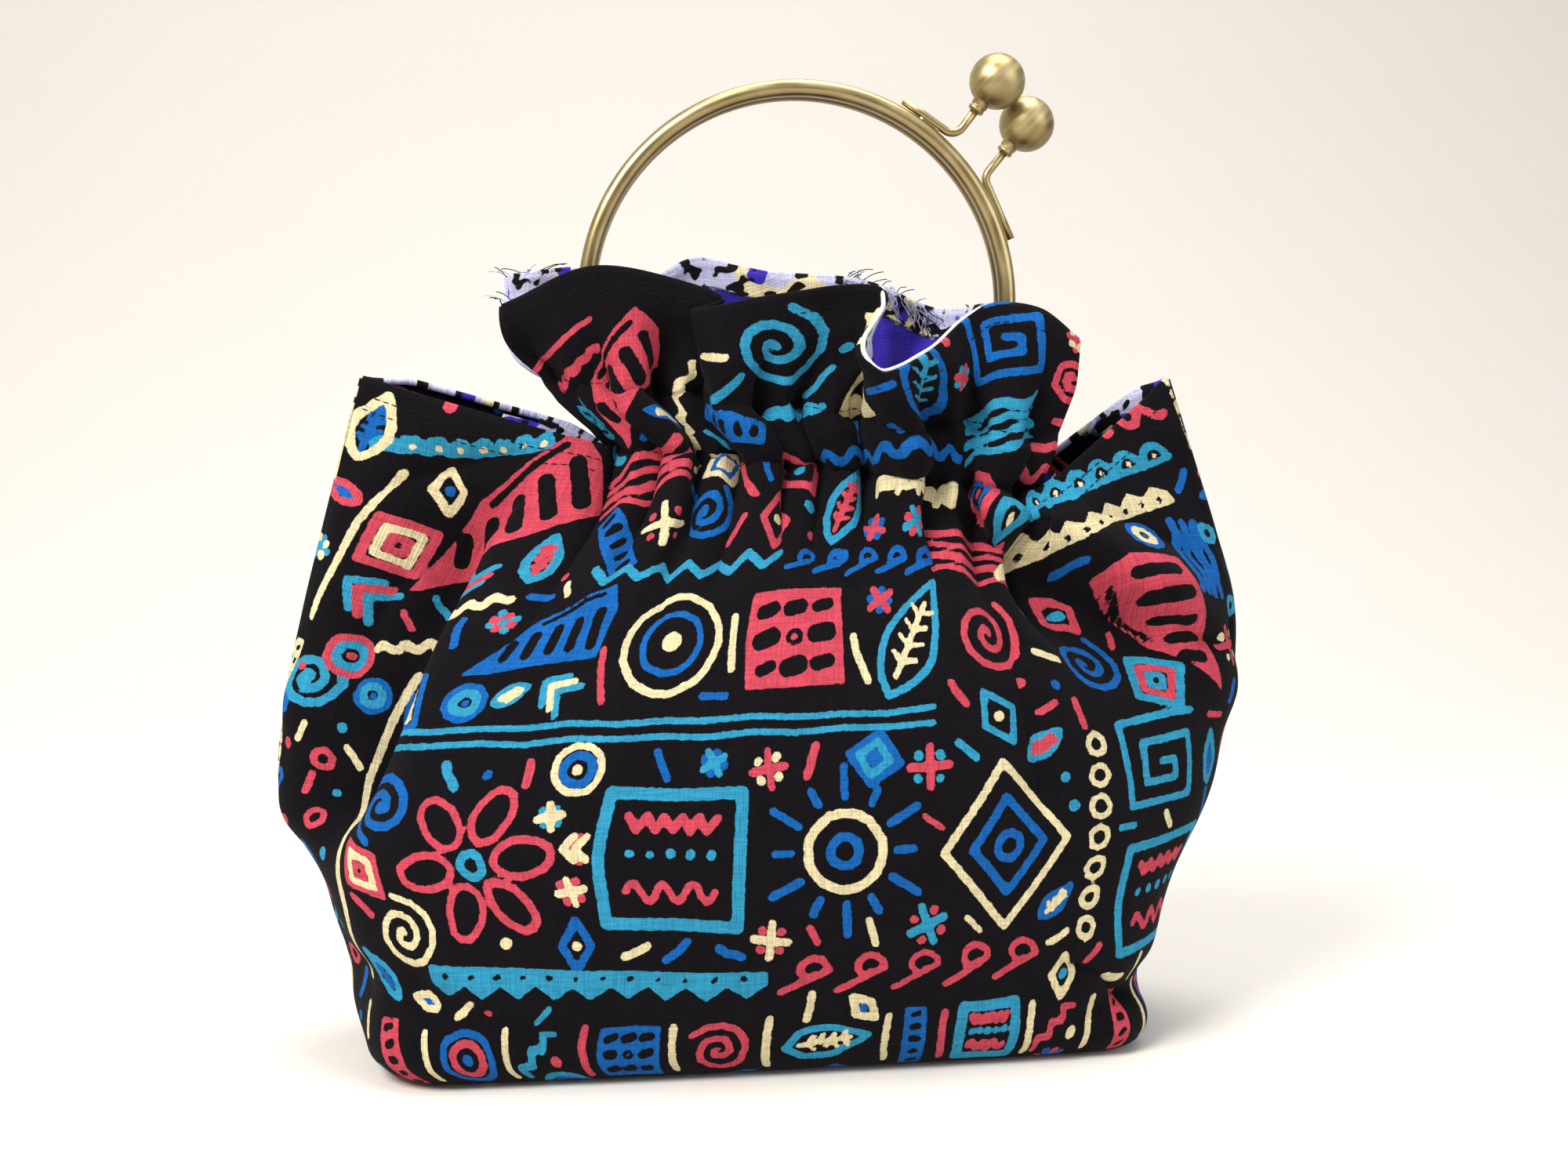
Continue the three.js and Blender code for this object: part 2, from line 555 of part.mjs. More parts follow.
// Each clasp stem lies brazed along the hoop, turns outwards at its heel and ends in the socket of its ball.
// foot, heel, turn, neck and ball are angles in the plane of the hoop; standoff is in millimetres from the rim.
const FRONT_STEM = { foot: 68.3, heel: 56.8, turn: 54.8, neck: 53.8, ball: 53.8, standoff: 26.2 };
const BACK_STEM = { foot: 24, heel: 33.6, turn: 35.4, neck: 41.8, ball: 43.8, standoff: 26.2 };

function ballCentre(stem) {
  return onHoop(stem.ball, HOOP_DIAMETER / 2 + stem.standoff);
}

function stemPoints(stem) {
  const rim = HOOP_DIAMETER / 2;
  const brazed = rim + STEM_DIAMETER / 2 - BRAZE_SINK;
  const neckReach = BALL_DIAMETER / 2 + COLLAR_LENGTH;
  const lean = onHoop(stem.neck, rim + stem.standoff - neckReach);
  const along = ballCentre(stem).sub(lean).normalize();
  const neck = ballCentre(stem).addScaledVector(along, -neckReach);
  return [
    onHoop(stem.foot, brazed),
    onHoop(lerp(stem.foot, stem.heel, 0.5), brazed),
    onHoop(stem.heel, brazed),
    onHoop(stem.turn, brazed + STEM_TURN_RISE),
    neck,
    neck.clone().addScaledVector(along, SOCKET_DEPTH - FIT_GAP),
  ];
}

function hoopGeometry(stem) {
  const rod = toSolid(wire(hoopPath(), ROD_DIAMETER, ROD_SIDES, ARC_STEPS));
  const bead = new THREE.CylinderGeometry(
    ROD_DIAMETER / 2 + WELD_BEAD_RISE,
    ROD_DIAMETER / 2 + WELD_BEAD_RISE,
    WELD_BEAD_LENGTH,
    ROD_SIDES,
  );
  bead.rotateZ(Math.PI / 2);
  bead.translate(0, 0, -BAR_DROP);
  const stemCurve = new THREE.CatmullRomCurve3(stemPoints(stem), false, 'centripetal');
  const stemWire = toSolid(wire(stemCurve, STEM_DIAMETER, STEM_SIDES, STEM_STEPS));
  return fromSolid(rod.add(toSolid(bead)).add(stemWire));
}

// A round ball with a collar and a socket for its stem, turned about Z with the socket opening down.
function ballGeometry() {
  const radius = BALL_DIAMETER / 2;
  const socket = STEM_DIAMETER / 2 + FIT_GAP;
  const foot = -radius - COLLAR_LENGTH;
  const collarTop = Math.asin(COLLAR_DIAMETER / 2 / radius);
  const profile = [new THREE.Vector2(0, foot + SOCKET_DEPTH), new THREE.Vector2(socket, foot + SOCKET_DEPTH)];
  profile.push(new THREE.Vector2(socket, foot), new THREE.Vector2(COLLAR_DIAMETER / 2, foot));
  for (let ring = 0; ring <= BALL_RINGS; ring += 1) {
    const angle = lerp(collarTop, Math.PI, ring / BALL_RINGS);
    const across = ring === BALL_RINGS ? 0 : radius * Math.sin(angle);
    profile.push(new THREE.Vector2(across, -radius * Math.cos(angle)));
  }
  const geometry = new THREE.LatheGeometry(profile, BALL_SIDES);
  geometry.rotateX(Math.PI / 2);
  return geometry;
}

function orientedBall(stem) {
  const points = stemPoints(stem);
  const along = points[5].clone().sub(points[4]).normalize();
  const geometry = ballGeometry();
  geometry.applyQuaternion(new THREE.Quaternion().setFromUnitVectors(new THREE.Vector3(0, 0, 1), along));
  const centre = points[4].clone().addScaledVector(along, COLLAR_LENGTH + BALL_DIAMETER / 2);
  geometry.translate(...centre.toArray());
  return geometry;
}

// A barrel between the two rods at the left corner of the frame, opposite the clasp.
function hingeGeometry() {
  const { angle } = barCorner();
  const diameter = HOOP_SPACING - ROD_DIAMETER - 2 * FIT_GAP;
  const geometry = new THREE.CylinderGeometry(diameter / 2, diameter / 2, HINGE_BARREL_LENGTH, ROD_SIDES);
  geometry.rotateX(Math.PI / 2);
  const placeAngle = 180 - angle - HINGE_OFFSET;
  geometry.rotateY(radians(180 - placeAngle));
  const place = onHoop(placeAngle, HOOP_RADIUS);
  geometry.translate(...place.toArray());
  return geometry;
}

function piece(name, geometry, finish) {
  const mesh = new THREE.Mesh(geometry, new THREE.MeshStandardMaterial(MATERIALS[finish]));
  mesh.name = name;
  return mesh;
}

// The metal frame tilts as one in its own plane, with the front hoop before and the back hoop behind the middle.
function frameGroup() {
  const frame = new THREE.Group();
  const hoops = [
    { label: 'front', stem: FRONT_STEM, y: -HOOP_SPACING / 2 },
    { label: 'back', stem: BACK_STEM, y: HOOP_SPACING / 2 },
  ];
  hoops.forEach(({ label, stem, y }) => {
    const hoop = piece(`${label}_hoop`, hoopGeometry(stem), 'brass');
    const ball = piece(`${label}_clasp_ball`, orientedBall(stem), 'brass');
    hoop.position.y = y;
    ball.position.y = y;
    frame.add(hoop, ball);
  });
  frame.add(piece('frame_hinge', hingeGeometry(), 'brass'));
  frame.rotation.y = radians(FRAME_TILT);
  frame.position.set(HOOP_SIDE_SHIFT, 0, HOOP_CENTRE_HEIGHT);
  return frame;
}

const placed = new THREE.Group();
[{ label: 'front', face: -1 }, { label: 'back', face: 1 }].forEach(({ label, face }) => {
  const surface = middleSurface(face);
  placed.add(piece(`${label}_panel`, outerPanel(surface, face), 'print'));
  placed.add(piece(`${label}_lining`, liningPanel(surface, face), 'lining'));
});
placed.add(frameGroup());

// The origin is the middle of the underside.
placed.updateMatrixWorld(true);
const extent = new THREE.Box3().setFromObject(placed);
placed.position.set(-(extent.min.x + extent.max.x) / 2, -(extent.min.y + extent.max.y) / 2, -extent.min.z);

const handbag = new THREE.Group();
handbag.name = 'reversible_handbag';
handbag.add(placed);

export default handbag;
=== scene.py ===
"""Looks of a reversible cloth handbag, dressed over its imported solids."""

import math
import random

import bmesh
import bpy
import numpy as np
from mathutils import Matrix, Vector


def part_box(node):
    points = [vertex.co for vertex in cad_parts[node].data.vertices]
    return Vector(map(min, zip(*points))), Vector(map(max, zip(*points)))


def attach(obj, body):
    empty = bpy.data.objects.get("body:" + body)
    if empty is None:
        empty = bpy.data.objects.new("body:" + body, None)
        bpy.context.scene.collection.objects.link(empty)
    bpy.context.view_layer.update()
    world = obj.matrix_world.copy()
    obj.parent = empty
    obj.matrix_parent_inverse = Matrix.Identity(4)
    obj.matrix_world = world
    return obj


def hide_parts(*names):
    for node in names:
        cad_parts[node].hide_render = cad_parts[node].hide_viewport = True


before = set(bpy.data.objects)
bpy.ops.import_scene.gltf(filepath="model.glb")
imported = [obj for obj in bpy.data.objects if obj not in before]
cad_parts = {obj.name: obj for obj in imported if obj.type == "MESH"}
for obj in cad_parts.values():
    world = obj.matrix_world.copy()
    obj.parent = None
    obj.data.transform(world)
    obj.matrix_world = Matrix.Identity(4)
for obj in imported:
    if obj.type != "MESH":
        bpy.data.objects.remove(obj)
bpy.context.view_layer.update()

bl_info = {
    "name": "Reversible handbag",
    "version": (1, 0, 0),
    "blender": (4, 5, 0),
    "location": "3D View > Sidebar > Handbag",
    "description": "Builds the cloth, the metal frame and the stage of a reversible handbag",
    "category": "Object",
}

# Lengths in the tables and surface functions are millimetres in the bag's own frame. MM turns them into metres and
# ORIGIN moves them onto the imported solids.
MM = 0.001
ORIGIN = np.array((-2.757, 0.03, 0.0))

CLOTH_WALL = 1.0
LAYER_GAP = 0.6
FIT_GAP = 0.3
HALF_WIDTH = 165.0
BELLY_DEPTH = 65.0
EAR_HEIGHT = 229.7
BASE_CORNER_RADIUS = 22.0
OVAL_SPREAD = 0.2
HOOP_DIAMETER = 150.0
ROD_DIAMETER = 6.0
BAR_DROP = 45.0
BAR_CORNER_RADIUS = 8.0
HOOP_SIDE_SHIFT = 12.5
HOOP_CENTRE_HEIGHT = 255.7
FRAME_TILT = math.radians(6)
STEM_DIAMETER = 2.9
BALL_DIAMETER = 19.0
COLLAR_DIAMETER = 5.6
COLLAR_LENGTH = 3.2
CASING_HEIGHT = 22.0
HEADING_HEIGHT = 40.0
FLAP_FOOT = (-52.0, 94.0)
FLAP_NECK = (-74.0, 101.0)
FLAP_HALF_SPAN = 97.5
FLAP_MIDDLE = HOOP_SIDE_SHIFT - 2.0
GATHER_DEPTH = 12.0
GATHER_SINK = 0.45
GATHER_SPREAD = 0.6
HEADING_BOW = 2.5
LINING_BORDER = 9.8
EAR_HEM_ROWS = (5.2, 9.8)
HEM_SIDES = 8

# How finely the outer cloth and the lining are divided.
FINE = {"columns": 336, "under_rows": 16, "body_rows": 172, "casing_rows": 16, "heading_rows": 34}
COARSE = {"columns": 224, "under_rows": 8, "body_rows": 104, "casing_rows": 12, "heading_rows": 24}

HOOP_SPACING = ROD_DIAMETER + 2 * (CLOTH_WALL + 2 * FIT_GAP)
HOOP_RADIUS = (HOOP_DIAMETER - ROD_DIAMETER) / 2
LAYER_OUT = LAYER_GAP / 2 + CLOTH_WALL
EDGE_TUBE = LAYER_OUT - 0.1
HOOP_PLACES = (("front", -HOOP_SPACING / 2), ("back", HOOP_SPACING / 2))
CASING_FRONT = HOOP_SPACING / 2 + ROD_DIAMETER / 2 + FIT_GAP + LAYER_OUT
BEHIND_BAR = HOOP_SPACING / 2 - ROD_DIAMETER / 2 - FIT_GAP - CLOTH_WALL / 2
BAR_CLEAR = ROD_DIAMETER / 2 + FIT_GAP + CLOTH_WALL
CASING_LIFTS = (-CASING_HEIGHT / 2, -BAR_CLEAR, 0.0, BAR_CLEAR, CASING_HEIGHT / 2)
LEFT_SLIT = 6 / 28
RIGHT_SLIT = 23 / 28

# Level sections of the body: shares of EAR_HEIGHT, HALF_WIDTH and BELLY_DEPTH, and a turn in degrees.
SECTIONS = {
    "level": (0.0, 0.04, 0.14, 0.26, 0.38, 0.52, 0.65, 0.77, 0.88, 1.0),
    "left": (0.775, 0.82, 0.85, 0.905, 0.99, 0.98, 0.945, 0.905, 0.865, 0.82),
    "right": (0.78, 0.8, 0.83, 0.885, 0.965, 1.015, 1.015, 0.965, 0.915, 0.86),
    "middle": (0.71, 0.81, 0.91, 0.99, 1.0, 0.95, 0.83, 0.66, 0.43, 0.145),
    "ear": (0.72, 0.82, 0.91, 0.98, 0.93, 0.84, 0.7, 0.54, 0.4, 0.38),
    "boxy": (0.9, 0.85, 0.6, 0.3, 0.12, 0.0, 0.0, 0.0, 0.0, 0.0),
    "gather": (0.0, 0.0, 0.0, 0.0, 0.0, 0.06, 0.2, 0.45, 0.78, 1.0),
    "turn": (5, 5, 5, 4, 3, 2, 1, 0, 0, 0),
}

# Long folds: depth share (inwards above zero), width shares before and after the path, and the path in shares.
FRONT_FOLDS = (
    (0.29, 0.07, 0.15, ((-0.4, 0.86), (-0.6, 0.79), (-0.7, 0.66), (-0.77, 0.55), (-0.84, 0.44), (-0.9, 0.36),
                        (-0.95, 0.28))),
    (-0.13, 0.1, 0.05, ((0.4, 0.83), (0.56, 0.81), (0.68, 0.755), (0.8, 0.69), (0.96, 0.58))),
    (0.13, 0.06, 0.11, ((0.34, 0.78), (0.52, 0.735), (0.64, 0.68), (0.78, 0.61), (0.92, 0.5))),
    (0.07, 0.05, 0.07, ((-0.95, 0.17), (-0.8, 0.155), (-0.6, 0.1))),
    (0.09, 0.05, 0.05, ((0.95, 0.085), (0.78, 0.1), (0.58, 0.05))),
)
BACK_FOLDS = (
    (0.16, 0.1, 0.1, ((-0.4, 0.84), (-0.6, 0.7), (-0.74, 0.5), (-0.86, 0.33))),
    (0.16, 0.1, 0.1, ((0.52, 0.84), (0.66, 0.7), (0.78, 0.5), (0.86, 0.33))),
)

# Crisp creases, in millimetres: depth (inwards above zero), widths before and after the path, and the path.
FRONT_CREASES = (
    (-3.4, 12, 3, ((-56, 203), (-76, 194), (-91, 179), (-100, 163), (-105, 146), (-115, 124), (-126, 106), (-136, 84))),
    (4.4, 2.8, 10, ((-60, 200), (-82, 190), (-99, 177), (-110, 158), (-117, 138), (-128, 115), (-140, 92), (-150, 70))),
    (-3.8, 13, 2.8, ((50, 208), (63, 195), (80, 184), (98, 173), (120, 161), (134, 152), (143, 138))),
    (5.0, 2.4, 10, ((48, 203), (60, 190), (78, 179), (96, 167), (118, 155), (132, 146), (140, 130))),
    (2.8, 3, 8, ((78, 156), (83, 132), (89, 104), (92, 80))),
    (3.4, 3, 7, ((118, 158), (134, 151), (150, 143), (164, 134))),
    (2.6, 4, 6, ((104, 187), (124, 180), (142, 172), (160, 160))),
    (2.6, 3, 6, ((-66, 206), (-92, 205), (-118, 198), (-142, 186))),
    (2.0, 4, 7, ((-120, 176), (-132, 160), (-142, 142), (-150, 120))),
    (2.6, 3, 5, ((92, 38), (108, 33), (122, 22), (128, 14))),
    (1.6, 4, 6, ((-134, 52), (-108, 34), (-76, 20), (-60, 12))),
    (-1.8, 5, 5, ((-40, 192), (-50, 176), (-56, 160), (-58, 148))),
    (1.8, 4, 6, ((-26, 190), (-32, 172), (-34, 156), (-34, 146))),
    (1.8, 4, 5, ((20, 190), (22, 176), (26, 164), (32, 156))),
)
BACK_CREASES = (
    (3.6, 4, 9, ((-60, 200), (-84, 188), (-102, 168), (-116, 140), (-128, 112))),
    (3.6, 9, 4, ((60, 198), (84, 184), (104, 162), (118, 136), (130, 108))),
    (2.4, 4, 7, ((-120, 184), (-138, 172), (-150, 156))),
    (2.4, 4, 7, ((112, 182), (134, 170), (152, 152))),
    (2.2, 4, 6, ((-20, 190), (-26, 168), (-28, 150))),
    (2.0, 4, 6, ((34, 190), (40, 170), (42, 150))),
    (2.0, 4, 6, ((-126, 40), (-104, 30), (-80, 18))),
)

# Broad gathers: place along the flap, stand-out share, width share, run-out share below the casing.
FRONT_GATHERS = ((0.14, 0.4, 0.055, 0.3), (0.38, 0.5, 0.06, 0.22), (0.55, 0.35, 0.05, 0.16), (0.7, 1.0, 0.055, 0.16),
                 (0.91, 0.5, 0.055, 0.3))
BACK_GATHERS = ((0.12, 0.45, 0.055, 0.25), (0.3, 0.4, 0.05, 0.2), (0.52, 0.5, 0.06, 0.24), (0.72, 0.4, 0.05, 0.2),
                (0.9, 0.5, 0.055, 0.26))

# Turning points of the ruffled top edges: reach from the flap's middle, stand-out and rise as shares.
FRONT_RUFFLE = ((-1.0, 0.3, 0.79), (-0.68, 0.5, 1.1), (-0.25, 0.26, 0.86), (-0.36, 0.47, 0.74), (-0.06, 0.58, 0.87),
                (0.3, 0.38, 0.94), (0.24, 0.66, 0.62), (0.2, 0.9, 0.37), (0.27, 1.0, 0.22), (0.48, 0.64, 0.44),
                (0.69, 0.27, 0.81), (0.86, 0.42, 0.77), (1.0, 0.3, 0.53))
BACK_RUFFLE = ((-1.0, 0.32, 1.08), (-0.72, 0.46, 1.16), (-0.5, 0.28, 1.06), (-0.34, 0.48, 1.24), (-0.1, 0.56, 1.14),
               (0.26, 0.42, 1.06), (0.58, 0.6, 0.8), (0.75, 0.32, 0.84), (1.0, 0.36, 0.5))

# Narrow pleats drawn in by the casings: place along the flap, depth (inwards above zero), run-out share.
FRONT_PLEATS = (
    (0.02, 2.6, 0.34), (0.075, -1.6, 0.2), (0.115, 2.4, 0.26), (0.17, -1.8, 0.3), (0.215, 3.0, 0.2), (0.26, -1.2, 0.14),
    (0.3, 2.2, 0.3), (0.345, -1.5, 0.16), (0.42, 3.2, 0.16), (0.46, -1.4, 0.12), (0.49, 2.4, 0.2), (0.6, 2.8, 0.14),
    (0.645, -1.2, 0.12), (0.755, 3.2, 0.2), (0.8, -1.6, 0.22), (0.845, 2.8, 0.3), (0.885, -1.2, 0.2),
    (0.955, 2.6, 0.36),
)
BACK_PLEATS = (
    (0.03, 2.4, 0.3), (0.08, -1.4, 0.2), (0.17, 2.6, 0.24), (0.21, -1.5, 0.16), (0.245, 2.6, 0.28), (0.35, 2.8, 0.2),
    (0.39, -1.4, 0.14), (0.44, 2.4, 0.22), (0.58, 2.8, 0.2), (0.62, -1.2, 0.14), (0.66, 2.4, 0.26), (0.78, 2.8, 0.18),
    (0.82, -1.5, 0.2), (0.86, 2.4, 0.3), (0.96, 2.6, 0.32),
)
PLEAT_WIDTH = 0.018
PLEAT_DRAW = 2.2
CREASE_DRAW = 1.5
SPOUT_KNOTS = (5, 10)

FRONT = {"name": "front", "face": -1, "folds": FRONT_FOLDS, "gathers": FRONT_GATHERS, "ruffle": FRONT_RUFFLE,
         "pleats": FRONT_PLEATS, "creases": FRONT_CREASES, "seed": 3, "ear_rise": -0.8, "ear_out": 0.6, "bulge": 2.3}
BACK = {"name": "back", "face": 1, "folds": BACK_FOLDS, "gathers": BACK_GATHERS, "ruffle": BACK_RUFFLE,
        "pleats": BACK_PLEATS, "creases": BACK_CREASES, "seed": 11, "ear_rise": 3.6, "ear_out": 2.2, "bulge": 6.0}
SIDES = (FRONT, BACK)


def lerp(low, high, share):
    return low + (high - low) * share


def smooth(low, high, value):
    share = np.clip((value - low) / (high - low), 0.0, 1.0)
    return share * share * (3.0 - 2.0 * share)


def section(column, level):
    """A column of SECTIONS at any level, with slopes from the neighbouring rows."""
    keys = np.array(SECTIONS["level"])
    values = np.array(SECTIONS[column], float)
    last = len(keys) - 1
    high = np.minimum(np.arange(last + 1) + 1, last)
    low = np.maximum(np.arange(last + 1) - 1, 0)
    slopes = (values[high] - values[low]) / (keys[high] - keys[low])
    place = np.clip(level, 0.0, 1.0)
    row = np.searchsorted(keys[1:-1], place, side="left")
    step = keys[row + 1] - keys[row]
    share = (place - keys[row]) / step
    cube, square = share**3, share**2
    return (
        (2 * cube - 3 * square + 1) * values[row]
        + (cube - 2 * square + share) * step * slopes[row]
        + (3 * square - 2 * cube) * values[row + 1]
        + (cube - square) * step * slopes[row + 1]
    )


def casing_height(x):
    """Height of the bar's axis at a place along X."""
    foot = HOOP_CENTRE_HEIGHT - BAR_DROP / math.cos(FRAME_TILT)
    return foot - (x - HOOP_SIDE_SHIFT) * math.tan(FRAME_TILT)


def top_height(across):
    """Height of the body's upper edge: down an ear, across the foot of the flap, up the other ear."""
    left_foot, right_foot = (casing_height(x) - CASING_HEIGHT / 2 for x in FLAP_FOOT)
    return np.interp(across, (0, LEFT_SLIT, RIGHT_SLIT, 1), (EAR_HEIGHT, left_foot, right_foot, EAR_HEIGHT))


def rounded_box(share, left, right, depth):
    """A rounded rectangle walked from the left seam to the right seam, by share of its length."""
    radius = np.minimum(BASE_CORNER_RADIUS, 0.9 * depth)
    corner = np.pi * radius / 2
    side = depth - radius
    front = left + right - 2 * radius
    walk = share * (2 * side + 2 * corner + front)
    mirrored = walk > side + corner + front / 2
    walk = np.where(mirrored, 2 * side + 2 * corner + front - walk, walk)
    reach = np.where(mirrored, right, left)
    sign = np.where(mirrored, 1.0, -1.0)
    angle = np.clip((walk - side) / radius, 0.0, np.pi / 2)
    past = np.maximum(walk - side - corner, 0.0)
    x = sign * (reach - radius + radius * np.cos(angle) - past)
    y = np.where(walk < side, walk, side + radius * np.sin(angle))
    return x, y


def gather_out(side, along, below):
    """How far the broad gathers stand out."""
    total = np.zeros_like(along)
    for place, out, width, drop in side["gathers"]:
        total = total + GATHER_DEPTH * out * (1 - smooth(0, drop, below)) * np.exp(-(((along - place) / width) ** 2))
    return total


def body_base(side, across, level):
    """Places on the plain body, before its long folds."""
    face = side["face"]
    left = HALF_WIDTH * section("left", level)
    right = HALF_WIDTH * section("right", level)
    ear = 1 - smooth(0.6 * LEFT_SLIT, 1.1 * LEFT_SLIT, np.minimum(across, 1 - across))
    depth = BELLY_DEPTH * lerp(section("middle", level), section("ear", level), ear)
    angle = np.pi * across + OVAL_SPREAD * np.sin(2 * np.pi * across)
    oval_x = -np.cos(angle) * np.where(across < 0.5, left, right)
    box_x, box_y = rounded_box(across, left, right, depth)
    boxy = section("boxy", level)
    top_x = np.where(
        across < LEFT_SLIT,
        lerp(-left, FLAP_FOOT[0], across / LEFT_SLIT),
        np.where(
            across > RIGHT_SLIT,
            lerp(FLAP_FOOT[1], right, (across - RIGHT_SLIT) / (1 - RIGHT_SLIT)),
            lerp(FLAP_FOOT[0], FLAP_FOOT[1], (across - LEFT_SLIT) / (RIGHT_SLIT - LEFT_SLIT)),
        ),
    )
    along = (across - LEFT_SLIT) / (RIGHT_SLIT - LEFT_SLIT)
    x = lerp(lerp(oval_x, box_x, boxy), top_x, np.clip(section("gather", level), 0, 1))
    y = lerp(np.sin(angle) * depth, box_y, boxy) + gather_out(side, along, 1 - level)
    turn = np.radians(section("turn", level))
    return np.stack(
        (
            x * np.cos(turn) - face * y * np.sin(turn),
            x * np.sin(turn) + face * y * np.cos(turn),
            LAYER_OUT + level * (top_height(across) - LAYER_OUT),
        ),
        axis=-1,
    )


def long_folds(side):
    """The long folds of one side in millimetres."""
    return [
        (BELLY_DEPTH * depth, HALF_WIDTH * before, HALF_WIDTH * after, np.array(path) * (HALF_WIDTH, EAR_HEIGHT))
        for depth, before, after, path in side["folds"]
    ]


def fold_depth(folds, places, sharpness=2.0):
    """How far folds press each place inwards."""
    total = np.zeros(places.shape[:-1])
    x, z = places[..., 0], places[..., 2]
    for depth, before, after, path in folds:
        path = np.array(path, float)
        nearest = np.full(x.shape, np.inf)
        turned = np.zeros(x.shape)
        walk = np.zeros(x.shape)
        for index, (start, end) in enumerate(zip(path, path[1:])):
            run = end - start
            offset_x, offset_z = x - start[0], z - start[1]
            share = np.clip((offset_x * run[0] + offset_z * run[1]) / (run @ run), 0, 1)
            distance = np.hypot(offset_x - share * run[0], offset_z - share * run[1])
            closer = distance < nearest
            nearest = np.where(closer, distance, nearest)
            turned = np.where(closer, run[0] * offset_z - run[1] * offset_x, turned)
            walk = np.where(closer, (index + share) / (len(path) - 1), walk)
        width = np.where(turned > 0, before, after)
        fade = smooth(0, 0.25, walk) * (1 - smooth(0.75, 1, walk))
        total += depth * fade * np.exp(-((nearest / width) ** sharpness))
    return total


def grid_normals(grid, face):
    """Unit normals of a grid of places, pointing out of the bag."""
    normals = np.cross(np.gradient(grid, axis=1), np.gradient(grid, axis=0))
    length = np.linalg.norm(normals, axis=-1, keepdims=True)
    return -face * normals / np.maximum(length, 1e-9)


def ruffle_knot(side, row):
    """A turning point of the ruffled top edge, from its row in the table."""
    reach, out, rise = row
    neck = casing_height(FLAP_MIDDLE) + CASING_HEIGHT / 2
    return np.array(
        (FLAP_MIDDLE + reach * FLAP_HALF_SPAN, side["face"] * out * HEADING_HEIGHT, neck + rise * HEADING_HEIGHT)
    )


def ruffle_points(side, shares):
    """Places along the ruffled top edge, by share of its length, on a centripetal curve through its table."""
    dense = smooth_curve([ruffle_knot(side, row) for row in side["ruffle"]], 24)
    reached = walked(dense)
    return np.stack([np.interp(shares * reached[-1], reached, dense[:, k]) for k in range(3)], axis=-1)


def walked(places):
    """How far each place is along its line, for one line or for all the columns of a grid."""
    steps = np.linalg.norm(np.diff(places, axis=0), axis=-1)
    return np.concatenate((np.zeros_like(steps[:1]), np.cumsum(steps, axis=0)))


def smooth_curve(knots, steps):
    """A centripetal Catmull-Rom curve through knots, sampled with steps to each span."""
    knots = [np.array(k, float) for k in knots]
    padded = [2 * knots[0] - knots[1], *knots, 2 * knots[-1] - knots[-2]]
    made = []
    for before, start, end, after in zip(padded, padded[1:], padded[2:], padded[3:]):
        gaps = [max(np.linalg.norm(b - a) ** 0.5, 1e-4) for a, b in ((before, start), (start, end), (end, after))]
        leave = (start - before) / gaps[0] - (end - before) / (gaps[0] + gaps[1]) + (end - start) / gaps[1]
        reach = (end - start) / gaps[1] - (after - start) / (gaps[1] + gaps[2]) + (after - end) / gaps[2]
        leave, reach = leave * gaps[1], reach * gaps[1]
        for step in range(steps):
            t = step / steps
            made.append(
                start + leave * t + (3 * (end - start) - 2 * leave - reach) * t**2
                + (2 * (start - end) + leave + reach) * t**3
            )
    made.append(knots[-1])
    return np.array(made)


def ripples(u, v, scale, seed):
    """A soft random field of about unit height with waves near scale long."""
    rng = random.Random(seed)
    total = np.zeros_like(u)
    for _ in range(7):
        angle = rng.uniform(0, math.pi)
        wave = 2 * math.pi / (scale * rng.uniform(0.7, 1.6))
        total = total + np.sin(wave * (u * math.cos(angle) + v * math.sin(angle)) + rng.uniform(0, 2 * math.pi))
    return total / 2.6


def pleat_depth(side, along, below, widen):
    """Narrow pleats under and over the casing."""
    total = np.zeros_like(along)
    for place, depth, drop in side["pleats"]:
        width = PLEAT_WIDTH * (1 + widen)
        shape = np.exp(-((np.abs(along - place) / width) ** 1.4))
        total = total + PLEAT_DRAW * depth * (1 - smooth(0.1 * drop, 1.15 * drop, below)) * shape
    return total


